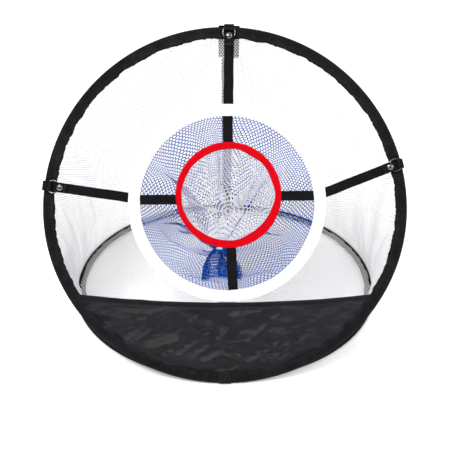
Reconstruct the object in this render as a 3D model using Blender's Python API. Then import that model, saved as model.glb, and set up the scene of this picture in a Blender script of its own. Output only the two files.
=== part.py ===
"""Golf chipping net: a pop-up practice target.

Two sprung wire hoops in sewn binding are joined at the bottom front. One lies on the ground and the
other leans back above it. A net tent runs between them, with a floor net below. Straps hang a white
ring with a blue pocket in the leaning hoop, and a red ring with a white pocket in the white ring.

Units are metres and +Z is up. +Y runs from the front of the object to its back. The origin is on
the ground, under the middle of the object's bounding box.
"""
import math

import bmesh
import bpy
from mathutils import Vector

# ---- Driving dimensions -------------------------------------------------------------------------
HOOP_R = 0.260              # outer radius of both hoops, over the binding
HOOP_LOWER_R = 0.2486       # the leaning hoop is flattened below its middle to this
LEAN = math.radians(28.9)   # how far the front hoop leans back from upright
BASE_CENTRE_Y = 0.0046      # middle of the ground hoop
FRONT_SEAT_Y = -0.2600      # where the front hoop's wire stands over the ground
FRONT_SEAT_LIFT = 0.0005    # raises the leaning hoop so that its binding's lower corner clears the ground
HOOP_SIDES = 64

WHITE_RING_R = 0.1415
WHITE_RING_X = 0.003
WHITE_RING_RISE = 0.0086    # its centre above the front hoop's centre
WHITE_RING_SIDES = 48
RED_RING_R = 0.0757
RED_RING_X = 0.005
RED_RING_RISE = 0.020
RED_RING_SIDES = 40

GAP = 0.0004                # clearance kept between neighbouring solids
NET_THICKNESS = 0.0010
PANEL_THICKNESS = 0.0006
STRAP_THICKNESS = 0.0010
STRAP_HALF_WIDTH = 0.0070
NET_TO_BINDING = 0.0012
NET_FOOT_HEIGHT = 0.0024    # the tent's lower edge, above the ground hoop's middle plane

HEM_HEIGHT = 0.1153         # hem's top edge above the front hoop's lowest point, at the middle
HEM_RISE = 0.0105           # how much higher the hem's top edge is at HEM_RISE_X
HEM_RISE_X = 0.199
HEM_WIDTH = 0.011

BLUE_DEPTH = 0.140          # how far the blue pocket reaches behind its ring
BLUE_DROP = 0.055           # how far its closed end hangs down
WHITE_POCKET_DEPTH = 0.085
WHITE_POCKET_DROP = 0.018

O_RING_R = 0.0087           # to the middle of its wire
O_RING_WIRE_R = 0.0009
O_RING_HEIGHT = 0.0057      # its centre, in front of the hoop's middle plane
STRAP_FOLD = 0.0010         # where the strap folds back, from the O-ring's centre
TAB_FOLD = 0.0020           # where the tab folds back, outwards from that centre
STRAP_RISE = 0.0038         # the strap's lower layer, in front of the hoop's middle plane
STUD_CAP_R = 0.0045
STUD_CAP_HEIGHT = 0.0018
STUD_BACK_R = 0.0040
STUD_BACK_HEIGHT = 0.0012
ANCHOR_THICKNESS = 0.0009   # patch that lies under the top tab
PATCH_TAIL = 0.038          # how far that patch runs down the tent

# Where each clip holds the hoop, and where its strap meets the white ring, as angles in the hoop's
# plane, counted from the right-hand side.
OUTER_STRAPS = {"top": (88.7, 89.2), "left": (172.6, 176.8), "right": (14.5, 6.1)}
# Each O-ring's centre, in from the hoop's outer edge, and its press stud's centre beyond that.
CLIPS = {"top": (0.0090, 0.0052), "left": (0.0137, 0.0103), "right": (0.0099, 0.0085)}
# Where each inner strap meets the white ring and the red ring.
INNER_STRAPS = {"top": (89.5, 90.8), "left": (178.0, 185.4), "right": (4.7, -1.1), "bottom": (273.8, 272.7)}


class Sleeve:
    """Cross-section of a folded binding tape round a hoop's wire, and of what it holds."""

    def __init__(self, width, wall, cavity, slot, wire_r, ferrule_inner, ferrule_outer):
        self.width = width
        self.wall = wall
        self.cavity = cavity
        self.slot = slot
        self.wire_r = wire_r
        self.ferrule_inner = ferrule_inner
        self.ferrule_outer = ferrule_outer
        self.half = cavity + wall
        self.leg = slot + wall

    def profile(self):
        """Outline as (inset from the outer edge, height above the middle plane)."""
        corner = 0.47 * self.half
        bulb_end = 2 * self.half - corner
        knee = 2 * self.half + 0.0007
        inner_knee = knee - 0.0005
        upper = [(self.width, self.leg), (knee, self.leg), (bulb_end, self.half),
                 (corner, self.half), (0.0, self.half - corner)]
        lower = [(inset, -height) for inset, height in reversed(upper)]
        inner_lower = [(self.width, -self.slot), (inner_knee, -self.slot),
                       (bulb_end + 0.0002, -self.cavity), (self.wall, -self.cavity)]
        inner_upper = [(inset, -height) for inset, height in reversed(inner_lower)]
        return upper + lower + inner_lower + inner_upper


HOOP_SLEEVE = Sleeve(0.017, 0.0009, 0.0025, 0.0006, 0.0015, 0.0018, 0.0022)
WHITE_SLEEVE = Sleeve(0.017, 0.0009, 0.0022, 0.0005, 0.0012, 0.0015, 0.0019)
RED_SLEEVE = Sleeve(0.010, 0.0008, 0.0018, 0.0005, 0.0009, 0.0012, 0.0015)

# ---- Frames -------------------------------------------------------------------------------------
X_AXIS = Vector((1, 0, 0))


class Plane:
    """A flat frame: x to the right, v up along the plane, n out of its front."""

    def __init__(self, origin, up, normal):
        self.origin = Vector(origin)
        self.up = Vector(up)
        self.normal = Vector(normal)

    def point(self, x, v, n=0.0):
        return self.origin + x * X_AXIS + v * self.up + n * self.normal

    def direction(self, x, v):
        return (x * X_AXIS + v * self.up).normalized()


FRONT_UP = Vector((0, math.sin(LEAN), math.cos(LEAN)))
FRONT_NORMAL = Vector((0, -math.cos(LEAN), math.sin(LEAN)))
FRONT_SEAT = Vector((0, FRONT_SEAT_Y, HOOP_SLEEVE.half + FRONT_SEAT_LIFT))
FRONT = Plane(FRONT_SEAT - HOOP_SLEEVE.half * FRONT_UP, FRONT_UP, FRONT_NORMAL)
GROUND = Plane((0, 0, HOOP_SLEEVE.half), (0, 1, 0), (0, 0, 1))


class Hoop:
    """A ring in a plane, as a polygon, whose lower half may be flatter than its upper half."""

    def __init__(self, plane, centre_x, centre_v, radius, lower_radius, sides, sleeve):
        self.plane = plane
        self.centre_x = centre_x
        self.centre_v = centre_v
        self.radius = radius
        self.lower_radius = lower_radius
        self.sides = sides
        self.sleeve = sleeve

    def flat_point(self, degrees, inset):
        angle = math.radians(degrees)
        upright = self.radius if math.sin(angle) > 0 else self.lower_radius
        x = self.centre_x + (self.radius - inset) * math.cos(angle)
        v = self.centre_v + (upright - inset) * math.sin(angle)
        return x, v

    def at_angle(self, degrees, inset, n=0.0):
        x, v = self.flat_point(degrees, inset)
        return self.plane.point(x, v, n)

    def at(self, station, inset, n=0.0):
        """A point at a station along the polygon, counted in sides from the right-hand side."""
        low = math.floor(station)
        step = 360 / self.sides
        start = self.at_angle(low * step, inset, n)
        return start.lerp(self.at_angle((low + 1) * step, inset, n), station - low)


FRONT_HOOP = Hoop(FRONT, 0.0, HOOP_LOWER_R, HOOP_R, HOOP_LOWER_R, HOOP_SIDES, HOOP_SLEEVE)
BASE_HOOP = Hoop(GROUND, 0.0, BASE_CENTRE_Y, HOOP_R, HOOP_R, HOOP_SIDES, HOOP_SLEEVE)
WHITE_RING = Hoop(FRONT, WHITE_RING_X, HOOP_LOWER_R + WHITE_RING_RISE, WHITE_RING_R,
                  WHITE_RING_R, WHITE_RING_SIDES, WHITE_SLEEVE)
RED_RING = Hoop(FRONT, RED_RING_X, HOOP_LOWER_R + RED_RING_RISE, RED_RING_R,
                RED_RING_R, RED_RING_SIDES, RED_SLEEVE)


# ---- Mesh helpers -------------------------------------------------------------------------------
def clear_scene():
    for old in list(bpy.data.objects):
        bpy.data.objects.remove(old, do_unlink=True)


def make_material(name, colour, roughness, metallic=0.0):
    material = bpy.data.materials.new(name)
    material.use_nodes = True
    shader = material.node_tree.nodes["Principled BSDF"]
    shader.inputs["Base Color"].default_value = (*colour, 1.0)
    shader.inputs["Roughness"].default_value = roughness
    shader.inputs["Metallic"].default_value = metallic
    return material


def make_object(name, points, faces, material):
    """A mesh object whose faces are turned to point out of it."""
    mesh = bpy.data.meshes.new(name)
    mesh.from_pydata([tuple(point) for point in points], [], faces)
    build = bmesh.new()
    build.from_mesh(mesh)
    bmesh.ops.recalc_face_normals(build, faces=build.faces)
    build.to_mesh(mesh)
    build.free()
    mesh.materials.append(material)
    mesh.shade_smooth()
    mesh.set_sharp_from_angle(angle=math.radians(35))
    made = bpy.data.objects.new(name, mesh)
    bpy.context.collection.objects.link(made)
    return made


def loft(name, sections, material, closed):
    """Joins loops of points in order. An open run of loops gets a flat cap at each end."""
    size = len(sections[0])
    points = [point for section in sections for point in section]
    faces = []
    pairs = len(sections) if closed else len(sections) - 1
    for row in range(pairs):
        here = row * size
        there = ((row + 1) % len(sections)) * size
        for column in range(size):
            after = (column + 1) % size
            faces.append((here + column, here + after, there + after, there + column))
    if not closed:
        faces.append(tuple(range(size)))
        faces.append(tuple(range(len(points) - size, len(points))))
    return make_object(name, points, faces, material)


def polygon(sides, radius):
    turn = 2 * math.pi / sides
    return [(radius * math.cos(turn * i), radius * math.sin(turn * i)) for i in range(sides)]


def band_outline(path, thickness):
    """Outline of a band of even thickness that follows a path of (a, b) points."""
    points = [Vector(point) for point in path]
    half = thickness / 2
    left = []
    right = []
    for i, point in enumerate(points):
        before = (point - points[i - 1]).normalized() if i else None
        after = (points[i + 1] - point).normalized() if i + 1 < len(points) else before
        before = before or after
        across = Vector((-(before + after).y, (before + after).x)).normalized()
        reach = half / across.dot(Vector((-after.y, after.x)))
        left.append(point + reach * across)
        right.append(point - reach * across)
    return left + right[::-1]


def band(name, path, thickness, half_width, place, material):
    """A flat band: its side view follows a path, and place(a, b, side) puts a point in space."""
    outline = band_outline(path, thickness)
    sides = [[place(p.x, p.y, side) for p in outline] for side in (-half_width, half_width)]
    return loft(name, sides, material, closed=False)


def turned(name, profile, centre, axis, across, sides, material):
    """A solid of revolution. The profile's (radius, height) points start and end on the axis."""
    third = axis.cross(across)
    points = [centre + profile[0][1] * axis]
    for radius, height in profile[1:-1]:
        for a, b in polygon(sides, radius):
            points.append(centre + a * across + b * third + height * axis)
    points.append(centre + profile[-1][1] * axis)
    rings = len(profile) - 2
    last = len(points) - 1
    faces = []
    for i in range(sides):
        after = (i + 1) % sides
        faces.append((0, 1 + i, 1 + after))
        for ring in range(rings - 1):
            low = 1 + ring * sides
            high = low + sides
            faces.append((low + i, high + i, high + after, low + after))
        top = 1 + (rings - 1) * sides
        faces.append((last, top + after, top + i))
    return make_object(name, points, faces, material)


def sheet(name, rows, thickness, material, wrap=False, pole=None):
    """A grid of points given a thickness. It may wrap round, and may close at a pole."""
    size = len(rows[0])
    points = [point for row in rows for point in row]
    faces = []
    for row in range(len(rows) - 1):
        for column in range(size if wrap else size - 1):
            after = (column + 1) % size
            here = row * size
            faces.append((here + column, here + after, here + size + after, here + size + column))
    if pole is not None:
        points.append(pole)
        last = (len(rows) - 1) * size
        for column in range(size):
            faces.append((last + column, last + (column + 1) % size, len(points) - 1))
    made = make_object(name, points, faces, material)
    solid = made.modifiers.new("Thickness", "SOLIDIFY")
    solid.thickness = thickness
    solid.offset = 0.0
    solid.use_even_offset = True
    return made


# ---- Hoops and rings ----------------------------------------------------------------------------
def make_binding(name, hoop, material):
    profile = hoop.sleeve.profile()
    sections = [[hoop.at(i, inset, n) for inset, n in profile] for i in range(hoop.sides)]
    return loft(name, sections, material, closed=True)


def make_wire(name, hoop, joint_side, material):
    """The sprung wire, whose two ends almost meet in the middle of one side of the polygon."""
    middle = hoop.sleeve.half
    profile = [(middle + a, b) for a, b in polygon(6, hoop.sleeve.wire_r)]
    stations = [joint_side + 0.54]
    stations += [joint_side + i for i in range(1, hoop.sides + 1)]
    stations += [joint_side + hoop.sides + 0.46]
    sections = [[hoop.at(s, inset, n) for inset, n in profile] for s in stations]
    return loft(name, sections, material, closed=False)


def make_ferrule(name, hoop, joint_side, material):
    """The crimped tube that joins the wire's two ends."""
    middle = hoop.sleeve.half
    start = joint_side + 0.12
    end = joint_side + 0.88
    inner = polygon(10, hoop.sleeve.ferrule_inner)
    outer = polygon(10, hoop.sleeve.ferrule_outer)
    sections = []
    for (ia, ib), (oa, ob) in zip(inner, outer):
        sections.append([hoop.at(start, middle + oa, ob), hoop.at(end, middle + oa, ob),
                         hoop.at(end, middle + ia, ib), hoop.at(start, middle + ia, ib)])
    return loft(name, sections, material, closed=True)


def make_hoop_set(prefix, ring_name, hoop, joint_side, binding_material, steel):
    make_binding(f"{ring_name}_sleeve", hoop, binding_material)
    make_wire(f"{ring_name}_wire", hoop, joint_side, steel)
    make_ferrule(f"{prefix}_wire_ferrule", hoop, joint_side, steel)


# ---- Net tent -----------------------------------------------------------------------------------
NET_INSET = HOOP_SLEEVE.width + NET_TO_BINDING
NET_ROWS = 4
NET_COLUMNS = 28


def tent_point(degrees, down, outward=0.0):
    """A point on the net tent: down is 0 at the front hoop and 1 at the ground hoop."""
    top = FRONT_HOOP.at_angle(degrees, NET_INSET, -NET_THICKNESS - GAP)
    foot = BASE_HOOP.at_angle(degrees, NET_INSET, NET_FOOT_HEIGHT)
    along = (foot - top).normalized()
    angle = math.radians(degrees)
    tangent = Vector((-math.sin(angle), math.cos(angle) * math.sin(LEAN) / 2, 0)).normalized()
    out = tangent.cross(along).normalized()
    if out.dot(foot - Vector((0, BASE_CENTRE_Y, foot.z))) < 0:
        out = -out
    return top.lerp(foot, down) + outward * out


def make_tent_half(name, start, end, material):
    rows = []
    for row in range(NET_ROWS):
        down = row / (NET_ROWS - 1)
        step = (end - start) / (NET_COLUMNS - 1)
        rows.append([tent_point(start + step * i, down) for i in range(NET_COLUMNS)])
    return sheet(name, rows, NET_THICKNESS, material)


def make_floor_net(material):
    radius = HOOP_R - HOOP_SLEEVE.width - NET_TO_BINDING - 0.0003
    low = 0.0010 - HOOP_SLEEVE.half
    heights = (low, low + NET_THICKNESS)
    sections = [[GROUND.point(a, BASE_CENTRE_Y + b, h) for a, b in polygon(HOOP_SIDES, radius)]
                for h in heights]
    return loft("floor_net", sections, material, closed=False)


def make_rear_tape(material):
    """The tape sewn down the outside of the tent's back seam."""
    half_width = 0.0085
    degrees = 90
    outward = NET_THICKNESS / 2 + STRAP_THICKNESS / 2 + 2 * GAP
    top = tent_point(degrees, 0.0, outward)
    foot = tent_point(degrees, 1.0, outward)
    along = (foot - top).normalized()
    start = top + (PATCH_TAIL + 0.006) * along
    clear_of_binding = 2.9 * HOOP_SLEEVE.leg
    end = foot - clear_of_binding * along
    out = X_AXIS.cross(along).normalized()

    def place(a, b, side):
        return start + a * along + b * out + (0.006 + side) * X_AXIS

    path = [(0.0, 0.0), ((end - start).length, 0.0)]
    band("rear_centre_tape", path, STRAP_THICKNESS, half_width, place, material)


def make_base_label(material):
    """A blank woven strip sewn over the ground hoop's binding at the back left."""
    first_station = 20.3
    last_station = 23.3
    steps = 6
    path = [(0.0164, 0.0023), (0.0081, 0.0023), (0.0056, 0.0042), (0.0014, 0.0042)]
    outline = band_outline(path, 0.0007)
    sections = []
    for i in range(steps + 1):
        station = first_station + (last_station - first_station) * i / steps
        sections.append([BASE_HOOP.at(station, p.x, p.y) for p in outline])
    loft("base_label", sections, material, closed=False)


def make_hinge_web(material):
    """The short webbing hinge sewn from the back of the front hoop to the top of the ground hoop."""
    half_width = 0.014
    path = [(0.0080, 0.0135), (0.0060, 0.0098), (0.0080, 0.0078), (0.0108, 0.0076),
            (0.0134, 0.0057), (0.0200, 0.0057)]

    def place(a, b, side):
        return Vector((side, FRONT_SEAT_Y + a, b))

    band("hoop_hinge_web", path, 0.0008, half_width, place, material)


# ---- Front panel --------------------------------------------------------------------------------
def hem_line(x):
    return HEM_HEIGHT + HEM_RISE * (x / HEM_RISE_X) ** 2


def hoop_half_width(v, inset):
    """Half the front hoop's width at a height, measured to a line inset from its outer edge."""
    share = (v - FRONT_HOOP.centre_v) / (HOOP_LOWER_R - inset)
    return (HOOP_R - inset) * math.sqrt(1 - share * share)


PANEL_EDGE_INSET = 0.0092
PANEL_TOP_IN_HEM = 0.0022


def make_front_panel(material):
    """The cloth panel below the hem. Its curved edge is sewn between the binding's two layers."""
    columns = 28
    corner_v = HEM_HEIGHT
    reach = hoop_half_width(corner_v, PANEL_EDGE_INSET)
    lower = HOOP_LOWER_R - PANEL_EDGE_INSET
    first = math.degrees(math.asin((corner_v - FRONT_HOOP.centre_v) / lower))
    top_row = []
    bottom_row = []
    for i in range(columns + 1):
        across = 2 * i / columns - 1
        degrees = -90 + across * (90 + first)
        x = across * reach
        top_row.append(FRONT.point(x, hem_line(x) - PANEL_TOP_IN_HEM))
        bottom_row.append(FRONT_HOOP.at_angle(degrees, PANEL_EDGE_INSET))
    middle_row = [a.lerp(b, 0.5) for a, b in zip(top_row, bottom_row)]
    sheet("front_panel", [top_row, middle_row, bottom_row], PANEL_THICKNESS, material)


def make_panel_hem(material):
    """The doubled hem, folded over the panel's top edge."""
    columns = 20
    slot = PANEL_THICKNESS / 2 + 0.0003
    half = slot + 0.0005
    fold = 0.0014
    outline = [(0.0, -half + 0.0004), (0.0, half - 0.0004), (0.0005, half), (HEM_WIDTH, half),
               (HEM_WIDTH, slot), (fold, slot), (fold, -slot), (HEM_WIDTH, -slot),
               (HEM_WIDTH, -half), (0.0005, -half)]
    sections = []
    for i in range(columns + 1):
        across = 2 * i / columns - 1
        section = []
        for down, n in outline:
            reach = hoop_half_width(HEM_HEIGHT + 0.0095 - down, HOOP_SLEEVE.width + 2 * NET_TO_BINDING)
            x = across * reach
            section.append(FRONT.point(x, hem_line(x) - down, n))
        sections.append(section)
    loft("panel_hem", sections, material, closed=False)


def make_binding_overlap(material):
    """The end of the front hoop's binding, lapped over its start at the bottom."""
    path = [(0.0162, 0.0023), (0.0081, 0.0023), (0.0056, 0.0042), (0.0014, 0.0042)]

    def place(a, b, side):
        return FRONT.point(side, a, b)

    band("front_binding_overlap", path, 0.0008, 0.009, place, material)


# ---- Rings' pockets -----------------------------------------------------------------------------
def make_pocket(name, ring, depth, drop, fullness, sides, material):
    """A net bag that hangs behind a ring. Its rows follow the bag from its rim to its end."""
    rim = ring.radius - ring.sleeve.width - NET_TO_BINDING
    rows = []
    shares = (0.0, 0.12, 0.3, 0.5, 0.7, 0.86, 0.96)
    for share in shares:
        radius = rim * (1 - share ** fullness) ** 0.5
        centre_v = ring.centre_v - drop * share ** 1.3
        rows.append([FRONT.point(ring.centre_x + a, centre_v + b, -NET_THICKNESS - depth * share)
                     for a, b in polygon(sides, radius)])
    pole = FRONT.point(ring.centre_x, ring.centre_v - drop, -NET_THICKNESS - depth)
    return sheet(name, rows, NET_THICKNESS, material, wrap=True, pole=pole)


def make_ring_seam_tab(material):
    """The white tab that sews the white ring's foot to the hem, and lets the ring tip back."""
    path = [(0.1050, -0.0020), (0.1140, -0.0020), (0.1165, -0.0039), (0.1215, -0.0039)]

    def place(a, b, side):
        return FRONT.point(WHITE_RING_X + side, a, b)

    band("ring_seam_tab", path, 0.0008, 0.012, place, material)


# ---- Straps and clips ---------------------------------------------------------------------------
def clip_frame(place_name):
    """The O-ring's centre, the way out of the hoop, the strap's direction and its length."""
    hoop_angle, ring_angle = OUTER_STRAPS[place_name]
    x, v = FRONT_HOOP.flat_point(hoop_angle, CLIPS[place_name][0])
    edge_x, edge_v = FRONT_HOOP.flat_point(hoop_angle, 0.0)
    ring_x, ring_v = WHITE_RING.flat_point(ring_angle, 0.0)
    centre = FRONT.point(x, v)
    outward = FRONT.direction(edge_x - x, edge_v - v)
    strap = FRONT.direction(ring_x - x, ring_v - v)
    angle = math.radians(ring_angle)
    slant = strap.cross(FRONT.direction(math.cos(angle), math.sin(angle))).length
    length = math.hypot(ring_x - x, ring_v - v) - 0.0006 - STRAP_HALF_WIDTH * slant
    return centre, outward, strap, length


def make_clip(place_name, webbing, steel):
    centre, outward, strap, length = clip_frame(place_name)
    normal = FRONT.normal
    layer = O_RING_HEIGHT + O_RING_WIRE_R + 0.0003 + STRAP_THICKNESS / 2
    under = ANCHOR_THICKNESS + 0.0003 if place_name == "top" else 0.0

    # The tab: it loops over the O-ring, round the hoop's outer edge and down its back.
    ring_inset, stud_from_ring = CLIPS[place_name]
    edge = ring_inset + 0.0006 + STRAP_THICKNESS / 2 + under
    back = -(HOOP_SLEEVE.half + 0.0005 + STRAP_THICKNESS / 2 + under)
    tab_path = [(TAB_FOLD, 0.0042), (TAB_FOLD, layer), (edge, layer), (edge, back), (-0.0040, back)]

    def place_tab(a, b, side):
        return centre + a * outward + b * normal + side * outward.cross(normal)

    band(f"hoop_tab_{place_name}", tab_path, STRAP_THICKNESS, 0.0070, place_tab, webbing)

    # The strap: flat from the white ring, up behind the O-ring, through it and folded forward.
    strap_path = [(length, 0.0), (0.032, 0.0), (0.019, STRAP_RISE), (STRAP_FOLD, STRAP_RISE),
                  (STRAP_FOLD, layer), (0.0195, layer)]

    def place_strap(a, b, side):
        return centre + a * strap + b * normal + side * strap.cross(normal)

    band(f"outer_strap_{place_name}", strap_path, STRAP_THICKNESS, STRAP_HALF_WIDTH,
         place_strap, webbing)

    # The O-ring.
    ring_centre = centre + O_RING_HEIGHT * normal
    across = outward.cross(normal)
    sections = []
    for a, b in polygon(20, 1.0):
        way = a * outward + b * across
        sections.append([ring_centre + (O_RING_R + p) * way + q * normal
                         for p, q in polygon(6, O_RING_WIRE_R)])
    loft(f"o_ring_{place_name}", sections, steel, closed=True)

    # The press stud's domed cap in front, and its socket behind.
    front_face = layer + STRAP_THICKNESS / 2 + 0.0003
    stud = centre + stud_from_ring * strap
    cap = [(0, 0), (STUD_CAP_R - 0.0003, 0), (STUD_CAP_R, 0.0006),
           (STUD_CAP_R - 0.0012, STUD_CAP_HEIGHT - 0.0002), (0, STUD_CAP_HEIGHT)]
    turned(f"snap_cap_{place_name}", cap, stud + front_face * normal, normal, strap, 12, steel)
    back_face = STRAP_RISE - STRAP_THICKNESS / 2 - 0.0003
    socket = [(0, 0), (STUD_BACK_R, 0), (STUD_BACK_R, STUD_BACK_HEIGHT), (0, STUD_BACK_HEIGHT)]
    turned(f"snap_back_{place_name}", socket, stud + back_face * normal, -normal, strap, 12, steel)


def make_top_anchor(material):
    """The wide patch over the top of the hoop, which runs down the outside of the tent."""
    _, outward, _, _ = clip_frame("top")
    edge = FRONT_HOOP.at_angle(OUTER_STRAPS["top"][0], 0.0)
    wall = 0.0003 + ANCHOR_THICKNESS / 2
    back = -(HOOP_SLEEVE.half + wall)
    tail = tent_point(90, 1.0) - tent_point(90, 0.0)
    tail.normalize()
    tail_in = -tail.dot(FRONT_UP)
    tail_n = tail.dot(FRONT_NORMAL)
    turn = 0.0170
    tail_length = PATCH_TAIL
    path = [(-wall, 0.0030), (-wall, back), (turn, back),
            (turn + tail_length * tail_in, back + tail_length * tail_n)]

    def place(a, b, side):
        return edge - a * outward + b * FRONT_NORMAL + side * outward.cross(FRONT_NORMAL)

    band("top_anchor_patch", path, ANCHOR_THICKNESS, 0.015, place, material)


def make_inner_strap(place_name, material):
    """A flat strap between the white ring's inner edge and the red ring's outer edge."""
    white_angle, red_angle = INNER_STRAPS[place_name]
    start = WHITE_RING.at_angle(white_angle, WHITE_SLEEVE.width + 0.0008)
    end = RED_RING.at_angle(red_angle, -0.0006)
    along = (end - start).normalized()

    def place(a, b, side):
        return start + a * along + b * FRONT.normal + side * along.cross(FRONT.normal)

    path = [(0.0, 0.0), ((end - start).length, 0.0)]
    band(f"inner_strap_{place_name}", path, STRAP_THICKNESS, STRAP_HALF_WIDTH, place, material)


# ---- Assembly -----------------------------------------------------------------------------------
def main():
    clear_scene()
    black_binding = make_material("black_binding", (0.012, 0.012, 0.014), 0.75)
    black_webbing = make_material("black_webbing", (0.014, 0.014, 0.015), 0.65)
    panel_cloth = make_material("panel_cloth", (0.035, 0.034, 0.038), 0.38)
    white_binding = make_material("white_binding", (0.86, 0.86, 0.86), 0.60)
    red_binding = make_material("red_binding", (0.86, 0.005, 0.02), 0.50)
    white_net = make_material("white_net", (0.82, 0.82, 0.84), 0.60)
    blue_net = make_material("blue_net", (0.02, 0.09, 0.55), 0.55)
    label_cloth = make_material("label_cloth", (0.85, 0.85, 0.84), 0.55)
    steel = make_material("spring_steel", (0.42, 0.42, 0.43), 0.35, 1.0)
    nickel = make_material("nickel", (0.66, 0.65, 0.63), 0.22, 1.0)

    make_hoop_set("front", "front_hoop", FRONT_HOOP, 56, black_binding, steel)
    make_hoop_set("base", "base_hoop", BASE_HOOP, 10, black_binding, steel)
    make_hoop_set("white", "white_ring", WHITE_RING, 42, white_binding, steel)
    make_hoop_set("red", "red_ring", RED_RING, 34, red_binding, steel)

    half_seam = 0.15
    make_tent_half("outer_net_right", -90 + half_seam, 90 - half_seam, white_net)
    make_tent_half("outer_net_left", 90 + half_seam, 270 - half_seam, white_net)
    make_floor_net(white_net)
    make_rear_tape(black_webbing)
    make_base_label(label_cloth)
    make_hinge_web(black_webbing)

    make_front_panel(panel_cloth)
    make_panel_hem(panel_cloth)
    make_binding_overlap(black_binding)

    make_pocket("blue_pocket_net", WHITE_RING, BLUE_DEPTH, BLUE_DROP, 2.2, 32, blue_net)
    make_pocket("inner_pocket_net", RED_RING, WHITE_POCKET_DEPTH, WHITE_POCKET_DROP, 1.5, 28, white_net)
    make_ring_seam_tab(white_binding)

    for place_name in OUTER_STRAPS:
        make_clip(place_name, black_webbing, nickel)
    make_top_anchor(black_webbing)
    for place_name in INNER_STRAPS:
        make_inner_strap(place_name, black_webbing)


main()
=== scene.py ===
"""Looks of the golf chipping net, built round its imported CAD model.

Lengths are metres, in the frame of the CAD model: +Z is up, +Y runs from the front of the net to its
back, and the ground is z = 0. Angles round a hoop are counted from its right-hand side.
"""
import math

import bmesh
import bpy
import numpy as np
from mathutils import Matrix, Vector


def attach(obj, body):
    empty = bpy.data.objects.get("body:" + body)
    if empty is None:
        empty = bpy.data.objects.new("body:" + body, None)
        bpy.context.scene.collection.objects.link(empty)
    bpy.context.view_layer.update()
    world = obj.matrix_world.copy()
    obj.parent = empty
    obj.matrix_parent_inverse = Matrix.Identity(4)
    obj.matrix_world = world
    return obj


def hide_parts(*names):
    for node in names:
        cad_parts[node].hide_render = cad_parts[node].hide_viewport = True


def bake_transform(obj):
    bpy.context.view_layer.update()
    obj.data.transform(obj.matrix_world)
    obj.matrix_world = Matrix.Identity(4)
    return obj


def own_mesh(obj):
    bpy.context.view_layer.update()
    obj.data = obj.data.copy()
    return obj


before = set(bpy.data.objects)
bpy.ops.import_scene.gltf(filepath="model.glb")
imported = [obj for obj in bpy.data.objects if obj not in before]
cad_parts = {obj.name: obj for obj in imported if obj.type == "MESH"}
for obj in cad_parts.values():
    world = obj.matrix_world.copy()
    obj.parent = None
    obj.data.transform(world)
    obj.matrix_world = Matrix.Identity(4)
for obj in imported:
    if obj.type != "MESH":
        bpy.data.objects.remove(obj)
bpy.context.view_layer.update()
TAU = 2 * math.pi

# ---- Frame ----------------------------------------------------------------------------------------
LEAN = math.radians(28.9)            # how far the front hoop leans back
HOOP_R = 0.260                       # outer radius of both hoops
HOOP_LOWER_R = 0.2486                # the front hoop is flatter below its middle
X_AXIS = np.array([1.0, 0.0, 0.0])
FRONT_UP = np.array([0.0, math.sin(LEAN), math.cos(LEAN)])
FRONT_NORMAL = np.array([0.0, -math.cos(LEAN), math.sin(LEAN)])
FRONT_FOOT = np.array([0.0, -0.261643, 0.000923])   # the front hoop's lowest point, in its middle plane
GROUND_UP = np.array([0.0, 1.0, 0.0])
GROUND_NORMAL = np.array([0.0, 0.0, 1.0])
HOOP_HALF = 0.0034                   # half the thickness of a hoop's binding over its wire


def stack(*values):
    """Arrays of the same shape as the last axis of one array."""
    return np.stack(np.broadcast_arrays(*values), -1)


class Hoop:
    """A hoop or ring in a plane, read by angle, inset from its outer edge and height off the plane."""

    def __init__(self, origin, up, normal, centre_x, centre_v, radius, lower_radius, width):
        self.origin, self.up, self.normal = origin, up, normal
        self.centre_x, self.centre_v = centre_x, centre_v
        self.radius, self.lower_radius, self.width = radius, lower_radius, width

    def flat(self, angle, inset=0.0):
        upright = np.where(np.sin(angle) > 0, self.radius, self.lower_radius)
        return (self.centre_x + (self.radius - inset) * np.cos(angle),
                self.centre_v + (upright - inset) * np.sin(angle))

    def place(self, x, v, n=0.0):
        x, v, n = (np.asarray(value, float)[..., None] for value in (x, v, n))
        return self.origin + x * X_AXIS + v * self.up + n * self.normal

    def at(self, angle, inset=0.0, n=0.0):
        return self.place(*self.flat(angle, inset), n)

    def length(self):
        return math.pi * (self.radius + (self.radius + self.lower_radius) / 2)


FRONT_HOOP = Hoop(FRONT_FOOT, FRONT_UP, FRONT_NORMAL, 0.0, HOOP_LOWER_R, HOOP_R, HOOP_LOWER_R, 0.017)
BASE_HOOP = Hoop(np.array([0.0, 0.0, HOOP_HALF]), GROUND_UP, GROUND_NORMAL, 0.0, 0.0046,
                 HOOP_R, HOOP_R, 0.017)
WHITE_RING = Hoop(FRONT_FOOT, FRONT_UP, FRONT_NORMAL, 0.003, 0.2572, 0.1415, 0.1415, 0.017)
RED_RING = Hoop(FRONT_FOOT, FRONT_UP, FRONT_NORMAL, 0.005, 0.2686, 0.0757, 0.0757, 0.010)


def front_point(x, v, n=0.0):
    return FRONT_HOOP.place(x, v, n)


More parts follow.
